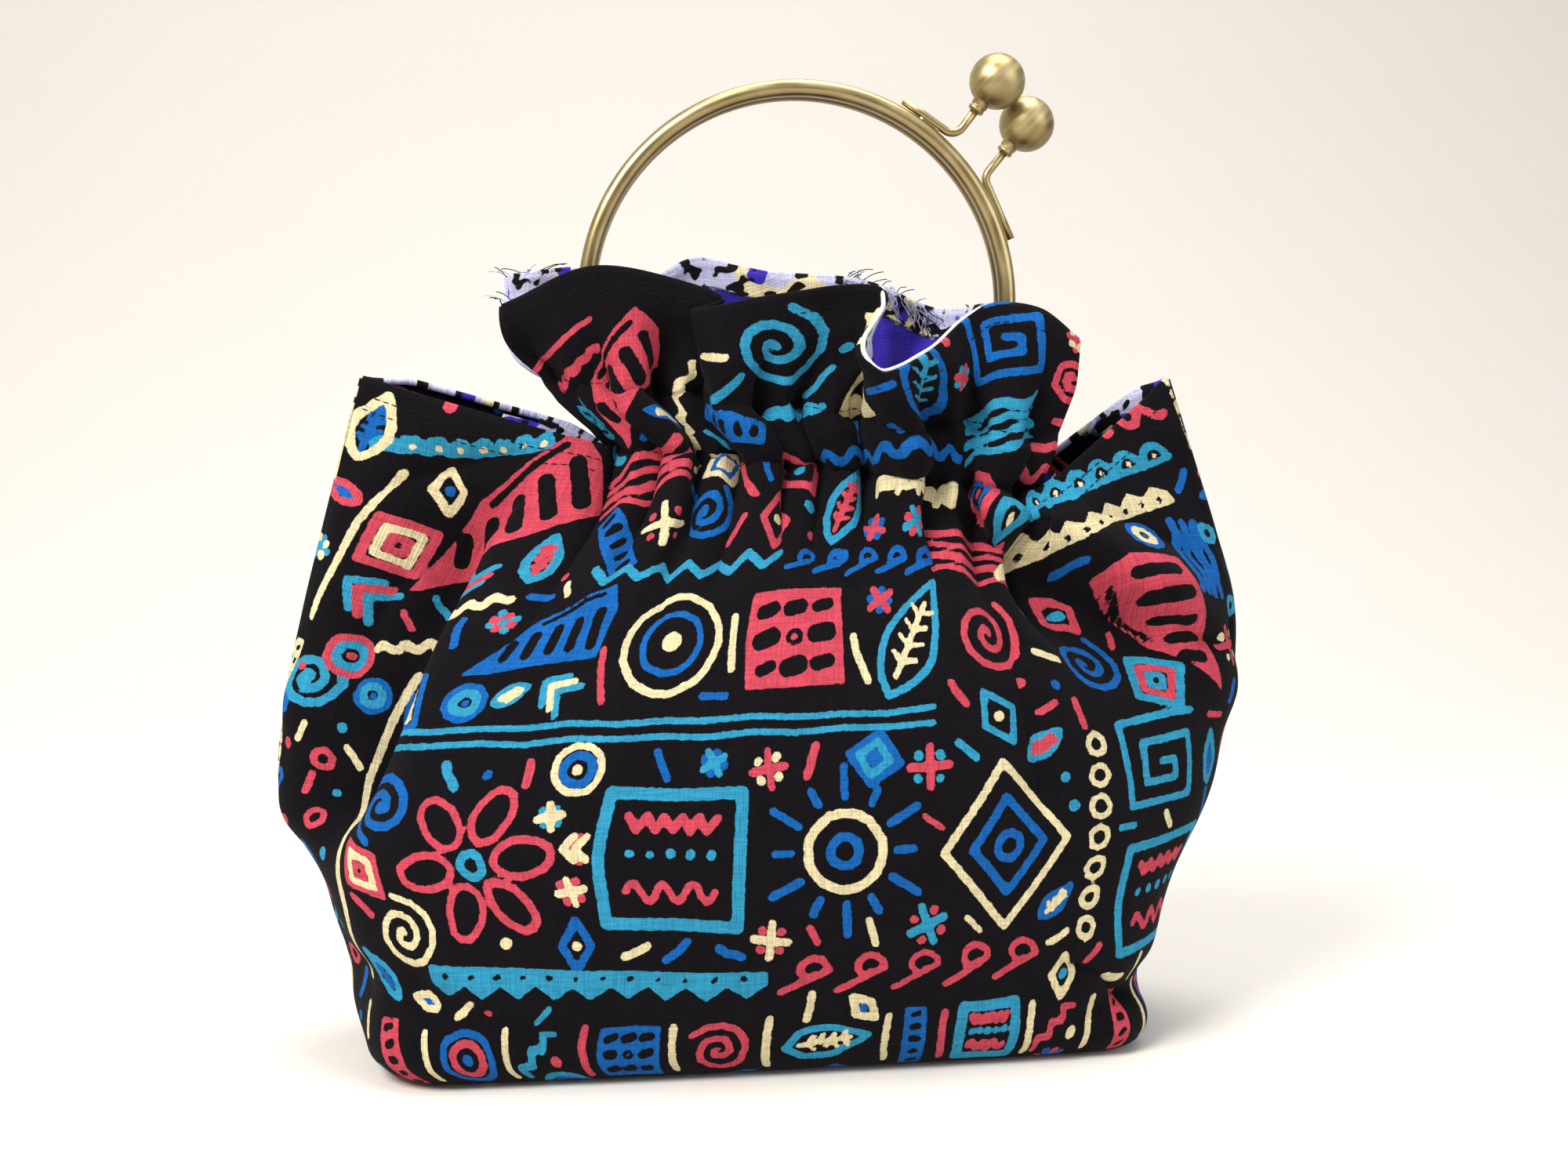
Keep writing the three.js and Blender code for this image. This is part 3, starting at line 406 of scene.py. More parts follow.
class ClothGrid:
    """One side of the bag as two grids of places that share an edge: the body with its underside, and the flap."""

    def __init__(self, side, columns, under_rows, body_rows, casing_rows, heading_rows):
        self.side = side
        face = side["face"]
        self.slit = (round(columns * LEFT_SLIT), round(columns * RIGHT_SLIT))
        self.under_rows = under_rows
        across = np.linspace(0, 1, columns + 1)
        level = np.linspace(0, 1, body_rows + 1)
        grid_across, grid_level = np.meshgrid(across, level)
        plain = body_base(side, grid_across, grid_level)
        fade = smooth(0, 0.09, np.minimum(grid_across, 1 - grid_across)) * (1 - smooth(0.93, 1, grid_level))
        press = fade * (fold_depth(long_folds(side), plain) + CREASE_DRAW * fold_depth(side["creases"], plain, 1.4))
        ear = np.where(across < 0.5, across / LEFT_SLIT, (1 - across) / (1 - RIGHT_SLIT))
        ear = smooth(0, 0.22, ear) * (1 - smooth(0.8, 1, ear))
        lift = ear * smooth(0.82, 1, level)[:, None]
        plain[..., 2] += side["ear_rise"] * lift
        plain[..., 1] += face * side["ear_out"] * lift
        under = self.underside(plain[0], under_rows)
        body = np.concatenate((under, plain - grid_normals(plain, face) * press[..., None]))
        body = self.round_base(body, under_rows)
        flap = self.flap(casing_rows, heading_rows)
        flap[0] = body[-1, self.slit[0]:self.slit[1] + 1]
        self.measure(np.concatenate((under, plain)), flap, under_rows, body_rows)
        body_level = np.concatenate((np.zeros(under_rows), level))
        self.body, self.flap_grid = self.crease(body, flap, np.meshgrid(across, body_level), casing_rows)
        self.body_normals, self.flap_normals = self.normals(self.body, self.flap_grid)

    def underside(self, ring, rows):
        """The flat underside, from the bottom seam out to the base ring."""
        start, end = ring[0], ring[-1]
        share = np.clip((ring[:, 0] - start[0]) / (end[0] - start[0]), 0, 1)[:, None]
        seam = start + (end - start) * share
        shares = np.linspace(0, 1, rows + 1)[:-1]
        return np.array([seam + (ring - seam) * s for s in shares])

    def round_base(self, grid, ring_row):
        """The base edge softened to a round of a few millimetres."""
        grid = grid.copy()
        for _ in range(10):
            soft = grid.copy()
            soft[1:-1] = (grid[:-2] + 2 * grid[1:-1] + grid[2:]) / 4
            rows = np.arange(len(grid))
            weight = np.exp(-(((rows - ring_row) / 2.2) ** 2))[:, None, None]
            grid = grid + (soft - grid) * weight
        return grid

    def flap(self, casing_rows, heading_rows):
        """The casing round the bar and the ruffled heading over it."""
        side, face = self.side, self.side["face"]
        along = np.linspace(0, 1, self.slit[1] - self.slit[0] + 1)
        lifts = np.linspace(-CASING_HEIGHT / 2, CASING_HEIGHT / 2, casing_rows + 1)
        shares = np.interp(lifts, CASING_LIFTS, np.linspace(0, 1, 5))
        foot_x = lerp(FLAP_FOOT[0], FLAP_FOOT[1], along)
        neck_x = lerp(FLAP_NECK[0], FLAP_NECK[1], along)
        out = gather_out(side, along, np.zeros_like(along))
        rows = []
        for lift, share in zip(lifts, shares):
            x = lerp(foot_x, neck_x, share)
            pinch = 1.3 * math.exp(-(((abs(lift) - CASING_HEIGHT / 2) / 2.6) ** 2))
            y = face * (CASING_FRONT - pinch + out * (1 + GATHER_SPREAD * share))
            z = casing_height(lerp(foot_x, x, share)) + lift - GATHER_SINK * out * share
            rows.append(np.stack((x, y, z), axis=-1))
        neck = rows[-1]
        top = ruffle_points(side, along)
        bulge = 1 + side["bulge"] * (1 - smooth(0, 0.2, along)) + 0.8 * smooth(0.82, 1, along)
        for rise in np.linspace(0, 1, heading_rows + 1)[1:]:
            place = lerp(neck, top, rise)
            place[:, 0] = lerp(neck[:, 0], top[:, 0], 1 - (1 - rise) ** bulge)
            place[:, 1] += face * HEADING_BOW * math.sin(math.pi * rise)
            rows.append(place)
        return np.array(rows)

    def measure(self, body, flap, under_rows, body_rows):
        """Flat cloth coordinates: u across from the middle, v up from the base edge, and how far the top edge is."""
        u = walked(body[under_rows + round(0.35 * body_rows)])
        u = u - u[len(u) // 2]
        v = walked(body)
        v = v - v[under_rows]
        left, right = self.slit
        rise = walked(flap)
        self.flap_v = v[-1, left:right + 1] + rise
        self.flap_u = np.broadcast_to(u[left:right + 1], self.flap_v.shape)
        self.body_v = v
        self.body_u = np.broadcast_to(u, v.shape)
        self.flap_rim = rise[-1] - rise
        self.body_rim = v[-1] - v
        inner = self.body_rim[:, left:right + 1] + rise[-1]
        self.body_rim = self.body_rim.copy()
        self.body_rim[:, left + 1:right] = inner[:, 1:-1]

    def crease(self, body, flap, grid, casing_rows):
        """The narrow pleats, puckers and soft ripples, laid on along the normals."""
        side = self.side
        left, right = self.slit
        across, level = grid
        along = (across - LEFT_SLIT) / (RIGHT_SLIT - LEFT_SLIT)
        normals, flap_normals = self.normals(body, flap)
        seam = np.minimum(across, 1 - across)
        press = pleat_depth(side, along, 1 - level, 0.6 * smooth(0.0, 0.3, 1 - level))
        press = press * smooth(-0.12, 0.02, along) * smooth(-0.12, 0.02, 1 - along)
        pucker = 1.5 * np.exp(-((seam / 0.05) ** 2)) * ripples(self.body_u * 0.25, self.body_v, 26, side["seed"])
        soft = 0.55 * ripples(self.body_u, self.body_v, 46, side["seed"] + 1)
        slanted = ripples(self.body_u + 0.7 * self.body_v, self.body_v * 0.3, 30, side["seed"] + 2)
        creased = 0.9 * smooth(0.25, 0.9, level) * slanted
        rise = smooth(0.02, 0.1, level) * (1 - smooth(0.94, 1.0, level))
        edge = smooth(0.0, 0.02, seam)
        waves = (pucker * (1 - smooth(0.9, 1.0, level)) + (soft + creased) * rise) * edge
        body = body + normals * (waves - press * smooth(0.3, 0.5, level) * edge)[..., None]
        flap_along = np.broadcast_to(np.linspace(0, 1, flap.shape[1]), flap.shape[:2])
        row = np.arange(flap.shape[0])[:, None] / casing_rows
        rising = np.clip((row - 1) * casing_rows / (flap.shape[0] - 1 - casing_rows), 0, 1)
        fine = np.sin(flap_along * 2 * math.pi * 21 + 3.4 * ripples(self.flap_u, self.flap_v, 50, side["seed"] + 3))
        fine = fine * (0.75 + 0.4 * ripples(self.flap_u, self.flap_v, 60, side["seed"] + 6))
        stitched = np.exp(-((np.minimum(np.abs(row), np.abs(row - 1)) / 0.25) ** 2))
        depth = pleat_depth(side, flap_along, np.zeros_like(flap_along), 1.5 * rising)
        depth = depth * (1.15 - 0.95 * smooth(0, 0.9, rising))
        gathered = fine * (0.35 + 0.9 * stitched) * (1 - smooth(0.1, 0.8, rising))
        soft = 0.9 * ripples(self.flap_u, self.flap_v, 26, side["seed"] + 4) * smooth(0.1, 0.6, rising)
        out = gathered * smooth(0, 0.2, row) + soft - depth
        near_bar = np.exp(-(((row - 0.5) / 0.36) ** 4))
        out = lerp(out, 2.2 + 0.45 * out, near_bar)
        flap = flap + flap_normals * out[..., None]
        flap[0] = body[-1, left:right + 1]
        return body, flap

    def normals(self, body, flap):
        """Normals of both grids, alike where they join."""
        face = self.side["face"]
        left, right = self.slit
        body_normals = grid_normals(body, face)
        strip = np.concatenate((body[:, left:right + 1], flap[1:]))
        strip_normals = grid_normals(strip, face)
        count = len(body)
        body_normals[:, left + 1:right] = strip_normals[:count, 1:-1]
        flap_normals = strip_normals[count - 1:].copy()
        flap_normals[0] = body_normals[-1, left:right + 1]
        self.keep_in_seam(body_normals)
        return body_normals, flap_normals

    def keep_in_seam(self, normals):
        """Normals turned into the plane of the seams beside them, so that both sides of the bag meet there."""
        level = np.concatenate((np.zeros(self.under_rows), np.linspace(0, 1, len(normals) - self.under_rows)))
        turn = np.radians(section("turn", level))
        across = np.stack((-np.sin(turn), np.cos(turn), np.zeros_like(turn)), axis=-1)[:, None]
        columns = np.arange(normals.shape[1])
        weight = np.clip(1 - np.minimum(columns, columns[::-1]) / 3, 0, 1)[None, :, None]
        weight = np.broadcast_to(weight, normals.shape[:2] + (1,)).copy()
        weight[0] = 1
        normals -= weight * across * (normals * across).sum(axis=-1, keepdims=True)
        normals /= np.maximum(np.linalg.norm(normals, axis=-1, keepdims=True), 1e-9)

    def offset(self, distance):
        """Both grids moved out along their normals, and kept above the floor."""
        body = self.body + distance * self.body_normals
        body[..., 2] = np.maximum(body[..., 2], 0)
        return body, self.flap_grid + distance * self.flap_normals

    def flat_area(self):
        """Area of the cut in square metres, and its width and length in metres."""
        total = 0.0
        for u, v in ((self.body_u, self.body_v), (self.flap_u, self.flap_v)):
            wide = (u[:-1, 1:] - u[:-1, :-1] + u[1:, 1:] - u[1:, :-1]) / 2
            long = (v[1:, :-1] - v[:-1, :-1] + v[1:, 1:] - v[:-1, 1:]) / 2
            total += float((wide * long).sum())
        width = float(np.ptp(self.body_u))
        length = float(self.flap_v.max() - self.body_v.min())
        return total * MM * MM, width * MM, length * MM


def place_grid(bm, grid, columns_of):
    """A grid of quads with its corners at the given places, and its flat coordinates kept on its corners."""
    rows, columns = grid.shape[0] - 1, grid.shape[1] - 1
    for name in columns_of:
        if name not in bm.verts.layers.float:
            bm.verts.layers.float.new(name)
    layers = {name: bm.verts.layers.float[name] for name in columns_of}
    made = bmesh.ops.create_grid(bm, x_segments=columns, y_segments=rows, size=0.5)["verts"]
    for vert in made:
        column = round((vert.co.x + 0.5) * columns)
        row = round((vert.co.y + 0.5) * rows)
        vert.co = (grid[row, column] + ORIGIN) * MM
        for name, layer in layers.items():
            vert[layer] = columns_of[name][row, column]


def add_object(name, data):
    made = bpy.data.objects.new(name, data)
    bpy.context.scene.collection.objects.link(made)
    return made


def smooth_mesh(name, bm, material):
    """A finished mesh of one material, shaded smooth, as an object of the scene."""
    mesh = bpy.data.meshes.new(name)
    bm.to_mesh(mesh)
    bm.free()
    mesh.materials.append(material)
    for polygon in mesh.polygons:
        polygon.use_smooth = True
    return add_object(name, mesh)


def new_piece(name, bm, material, stands_for=None, recalculate=True):
    """A finished piece that rides on the bag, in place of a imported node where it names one."""
    if recalculate:
        bmesh.ops.recalc_face_normals(bm, faces=bm.faces)
    piece = smooth_mesh(name, bm, material)
    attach(piece, "root")
    if stands_for:
        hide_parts(stands_for)
    return piece


def cloth_piece(cloth, layer, node, distance, material, keep=None):
    """A cloth layer at a distance from the middle surface, gathered on its hoop, with its wall turned in at the rim."""
    side = cloth.side["name"]
    body, flap = cloth.offset(distance)
    bm = bmesh.new()
    place_grid(bm, body, {"u": cloth.body_u, "v": cloth.body_v, "rim": cloth.body_rim})
    place_grid(bm, flap, {"u": cloth.flap_u, "v": cloth.flap_v, "rim": cloth.flap_rim})
    bmesh.ops.remove_doubles(bm, verts=bm.verts, dist=0.02 * MM)
    if keep:
        spare = [f for f in bm.faces if not keep(np.array(f.calc_center_median()) / MM - ORIGIN)]
        bmesh.ops.delete(bm, geom=spare, context="FACES")
    if cloth.side["face"] * distance > 0:
        bmesh.ops.reverse_faces(bm, faces=bm.faces)
    piece = new_piece(f"{side}_{layer}_cloth", bm, made_once(material), f"{side}_{node}", False)
    lay_flat(piece.data)
    wall = piece.modifiers.new("wall", "SOLIDIFY")
    wall.thickness = CLOTH_WALL * MM
    wall.offset = -1
    wall.use_rim_only = True
    area, width, length = cloth.flat_area()
    return piece


def kept_values(mesh, name):
    """The numbers kept on a mesh's corners under a name."""
    values = np.zeros(len(mesh.vertices), np.float32)
    mesh.attributes[name].data.foreach_get("value", values)
    return values


def lay_flat(mesh):
    """The flat cloth coordinates as a UV map, in units of 100 mm."""
    flat = np.stack([kept_values(mesh, name) / 100 for name in ("u", "v")], axis=-1)
    loops = np.zeros(len(mesh.loops), np.int32)
    mesh.loops.foreach_get("vertex_index", loops)
    layer = mesh.uv_layers.new(name="cloth")
    layer.data.foreach_set("uv", flat[loops].ravel())


# The print

INKS = ("coral", "royal", "turquoise", "cream")
INK_ORDER = ("royal", "turquoise", "coral", "cream")
STROKE = 1.35
SHAKE = 0.32
FAR_FROM_INK = 8.0


class Print:
    """Brush strokes, fills and holes on flat cloth, turned into distances from each ink."""

    def __init__(self, seed):
        self.rng = random.Random(seed)
        self.marks = []

    def add(self, kind, ink, points, width, closed):
        shaken = [
            np.array(p, float) + (self.rng.uniform(-SHAKE, SHAKE), self.rng.uniform(-SHAKE, SHAKE)) for p in points
        ]
        if closed or kind == "fill":
            shaken.append(shaken[0])
        self.marks.append((kind, INKS.index(ink), np.array(shaken), width * self.rng.uniform(0.88, 1.15)))

    def distances(self, u, v, margin=4.0):
        """Distance in millimetres from each ink at every place, below zero inside it."""
        places = np.stack((u, v), axis=-1)
        found = np.full((len(u), len(INKS)), max(FAR_FROM_INK, margin), np.float32)
        order = np.argsort(u)
        sorted_u = u[order]
        for kind, ink, points, width in self.marks:
            reach = width + margin
            low, high = points.min(axis=0) - reach, points.max(axis=0) + reach
            first, last = np.searchsorted(sorted_u, (low[0], high[0]))
            near = order[first:last]
            near = near[(v[near] > low[1]) & (v[near] < high[1])]
            if not len(near):
                continue
            here = places[near]
            best = np.full(len(near), np.inf)
            within = np.zeros(len(near), bool)
            for start, end in zip(points, points[1:]):
                run = end - start
                share = np.clip(((here - start) @ run) / max(run @ run, 1e-9), 0, 1)
                gap = here - start - share[:, None] * run
                best = np.minimum(best, np.hypot(gap[:, 0], gap[:, 1]))
                crosses = (start[1] > here[:, 1]) != (end[1] > here[:, 1])
                at = start[0] + (here[:, 1] - start[1]) * run[0] / (run[1] if abs(run[1]) > 1e-9 else 1e-9)
                within ^= crosses & (here[:, 0] < at)
            if kind == "fill":
                best = np.where(within, -best, best)
            if kind == "hole":
                found[near, ink] = np.maximum(found[near, ink], width - best)
            else:
                found[near, ink] = np.minimum(found[near, ink], best - width)
        return found


def circle(radius, count=22, x=0.0, y=0.0):
    steps = (2 * math.pi * k / count for k in range(count))
    return [(x + radius * math.cos(a), y + radius * math.sin(a)) for a in steps]


class Motif:
    """Draws ornaments on a Print at a place, a size and a turn."""

    def __init__(self, cloth_print, across, up, size, turn, ink, second=None):
        self.print = cloth_print
        self.centre = np.array((across, up), float)
        self.size = size
        angle = math.radians(turn)
        self.axes = np.array(((math.cos(angle), math.sin(angle)), (-math.sin(angle), math.cos(angle))))
        self.ink, self.second = ink, second

    def mark(self, kind, points, ink, width, closed=False):
        placed = [self.centre + self.size * (np.array(p) @ self.axes) for p in points]
        self.print.add(kind, ink or self.ink, placed, width, closed)

    def draw(self, points, ink=None, width=STROKE):
        self.mark("draw", points, ink, width)

    def loop(self, points, ink=None, width=STROKE):
        self.mark("draw", points, ink, width, True)

    def fill(self, points, ink=None):
        self.mark("fill", points, ink, 0.3)

    def hole(self, points, width):
        self.mark("hole", points, None, width)

    def spot(self, x, y, radius, ink=None):
        self.mark("draw", ((x, y), (x, y + 0.001)), ink, radius)

    def lozenge(self):
        self.loop(((-0.8, 0), (0, 1), (0.8, 0), (0, -1)))
        self.loop(((-0.46, 0), (0, 0.58), (0.46, 0), (0, -0.58)), self.second)
        self.loop(circle(0.15, 10), self.second)

    def small_lozenge(self):
        self.loop(((-0.62, 0), (0, 1), (0.62, 0), (0, -1)))
        self.spot(0, 0, 1.7, self.second)

    def sun(self):
        self.loop(circle(0.44), self.second)
        self.loop(circle(0.17, 10))
        for k in range(12):
            a, end = 2 * math.pi * k / 12, 0.98 if k % 2 else 0.8
            self.draw([(r * math.cos(a), r * math.sin(a)) for r in (0.62, end)])

    def petals(self):
        for k in range(6):
            a = 2 * math.pi * k / 6
            turns = (math.pi * j / 7 for j in range(14))
            leaf = [(0.28 + 0.34 * (1 - math.cos(t)), 0.21 * math.sin(t)) for t in turns]
            self.loop([(x * math.cos(a) - y * math.sin(a), x * math.sin(a) + y * math.cos(a)) for x, y in leaf])
        self.loop(circle(0.14, 10), self.second)

    def nest(self):
        for half, ink in ((0.95, self.ink), (0.6, self.second), (0.27, self.ink)):
            self.loop(((-half, -half), (-half, half), (half, half), (half, -half)), ink)

    def rings(self):
        self.loop(circle(0.95))
        self.loop(circle(0.58), self.second)
        self.spot(0, 0, 0.2 * self.size)

    def coil(self):
        self.draw([(0.036 * t * math.cos(0.5 * t), 0.036 * t * math.sin(0.5 * t)) for t in range(1, 28)])

    def square_coil(self):
        self.draw(((-0.1, -0.05), (0.25, -0.05), (0.25, -0.42), (-0.5, -0.42), (-0.5, 0.36), (0.66, 0.36),
                   (0.66, -0.84), (-0.92, -0.84), (-0.92, 0.8), (0.9, 0.8)))

    def chevrons(self):
        for rise, ink in ((0.0, self.ink), (0.4, self.second), (0.8, self.ink)):
            self.draw(((-0.75, rise - 0.75), (0, rise), (0.75, rise - 0.75)), ink)

    def bar(self):
        self.draw(((0.03, -1), (0, -0.3), (-0.03, 0.3), (0.02, 1)))

    def ladder(self):
        self.fill(((-0.3, -1), (-0.34, 0), (-0.28, 1), (0.3, 0.96), (0.33, 0), (0.29, -1)))
        for k in range(5):
            y = -0.78 + 0.39 * k
            self.hole(((-0.09, y), (0.1, y + 0.02)), 0.095 * self.size)

    def beads(self):
        for k in range(7):
            self.loop(circle(0.1, 8, -0.9 + 0.3 * k), self.ink, 1.1)
        self.draw(((-1, 0), (-0.99, 0)))

    def zigzag(self):
        self.draw([(-1 + k / 6, 0.075 * (-1) ** k) for k in range(13)])

    def wave(self):
        self.draw([(-1 + k / 24, 0.06 * math.sin(k * 0.9)) for k in range(49)])

    def line(self):
        self.draw([(-1 + k / 6, 0.004 * (-1) ** k) for k in range(13)], width=1.1)

    def scallops(self):
        self.draw(((-1, 0), (-0.3, 0.01), (0.4, 0), (1, 0)), width=1.1)
        for k in range(8):
            x = -0.88 + 0.25 * k
            self.draw([(x + 0.11 * math.cos(a), 0.14 * math.sin(a)) for a in (math.pi * j / 8 for j in range(9))])
            self.spot(x, 0.05, 1.1, self.second)

    def saw(self):
        self.fill([(-1, 0.06), (1, 0.05)] + [(1 - k / 9, -0.03 - 0.075 * (k % 2)) for k in range(19)])
        for k in range(12):
            self.hole(((-0.9 + 0.16 * k, 0.012), (-0.89 + 0.16 * k, 0.012)), 0.9)

    def spots(self):
        for k in range(8):
            x, y = -0.95 + 0.27 * k, 0.05 * (-1) ** k
            if k % 2:
                self.spot(x, y, 1.7, self.second)
            else:
                self.loop(circle(3.0 / self.size, 9, x, y), width=1.2)

    def fret(self):
        unit = ((0, -0.14), (0, 0.14), (0.27, 0.14), (0.27, -0.05), (0.13, -0.05), (0.13, 0.03))
        for k in range(5):
            self.draw([(-0.98 + 0.4 * k + x, y) for x, y in unit], width=1.2)

    def steps(self):
        self.draw(((-0.9, -0.8), (-0.9, -0.25), (-0.45, -0.25), (-0.45, 0.3), (0, 0.3), (0, 0.85), (0.45, 0.85)))
        self.spot(0.45, -0.2, 2.0, self.second)

    def goblet(self):
        self.fill(((-0.6, 0.95), (0.6, 0.95), (0.2, 0.1), (0.5, -0.95), (-0.5, -0.95), (-0.2, 0.1)))
        self.hole(((-0.2, 0.62), (0.2, 0.62), (0.02, 0.3), (-0.2, 0.62)), 0.11 * self.size)
        self.hole(((0, -0.25), (-0.13, -0.62), (0.13, -0.62), (0, -0.25)), 0.09 * self.size)
        self.spot(0, 0.5, 1.7, self.second)

    def stripes(self):
        for k in range(4):
            y = -0.39 + 0.26 * k
            self.draw([(-1 + 0.2 * j, y + 0.06 * math.sin(j + k)) for j in range(11)], width=1.2 + 0.35 * (k % 2))

    def fan(self):
        """A filled wedge with a row of holes and ribs."""
        self.fill(((-1, -0.16), (-0.2, 0.5), (0.9, 0.72), (1, 0.3), (0.8, -0.3), (-0.1, -0.2)))
        for k in range(5):
            x = -0.52 + 0.3 * k
            self.hole(((x, 0.02 - 0.03 * k), (x + 0.08, 0.22 + 0.03 * k)), 0.075 * self.size)
        self.hole(((-0.1, 0.44), (0.4, 0.55), (0.75, 0.6)), 0.035 * self.size)

    def tile(self):
        """A filled square with holes in rows."""
        self.fill(((-0.95, -0.9), (-0.98, 0), (-0.92, 0.92), (0, 0.96), (0.94, 0.92), (0.97, 0), (0.92, -0.94),
                   (0, -0.9)))
        for x in (-0.56, 0.0, 0.56):
            for y in (-0.56, 0.0, 0.56):
                if x or y:
                    self.hole(((x - 0.12, y), (x + 0.1, y + 0.04)), (0.13 if x * y else 0.17) * self.size)
        self.hole(circle(0.12, 8) + [(0.12, 0)], 0.05 * self.size)

    def panel(self):
        """A frame with a zigzag, dots and a wave in it."""
        self.loop(((-0.95, -0.9), (-0.98, 0), (-0.92, 0.92), (0, 0.9), (0.94, 0.95), (0.97, 0), (0.92, -0.94),
                   (0, -0.9)), width=1.9)
        self.draw([(-0.62 + 0.124 * k, 0.5 + 0.09 * (-1) ** k) for k in range(11)], self.second)
        for k in range(5):
            self.spot(-0.56 + 0.28 * k, 0.08, 1.5)
        self.draw([(-0.62 + 0.065 * k, -0.45 + 0.13 * math.sin(k)) for k in range(20)], self.second)

    def leaf(self):
        side = [(-1 + 0.2 * k, 0.42 * math.sin(math.pi * (k / 10) ** 0.8)) for k in range(11)]
        self.loop(side + [(x, -y) for x, y in side[-2:0:-1]])
        self.draw(((-0.7, 0), (0, 0.02), (0.6, 0)), self.second, 1.0)
        for k in range(4):
            x = -0.45 + 0.28 * k
            self.draw(((x, 0), (x + 0.12, 0.2)), self.second, 0.9)
            self.draw(((x, 0), (x + 0.12, -0.2)), self.second, 0.9)

    def cross(self):
        self.draw(((-0.8, 0), (0.8, 0.02)))
        self.draw(((0, -0.8), (0.02, 0.8)))
        for x in (-0.45, 0.45):
            for y in (-0.45, 0.45):
                self.spot(x, y, 1.5, self.second)

    def hooks(self):
        """A row of curling waves."""
        for k in range(5):
            curl = [(0.13 * (1 - t / 16), 0.45 * t) for t in range(13)]
            middle = -0.78 + 0.4 * k
            self.draw([(-1 + 0.4 * k, -0.16), *((middle + r * math.cos(a), r * math.sin(a)) for r, a in curl)],
                      width=1.15)


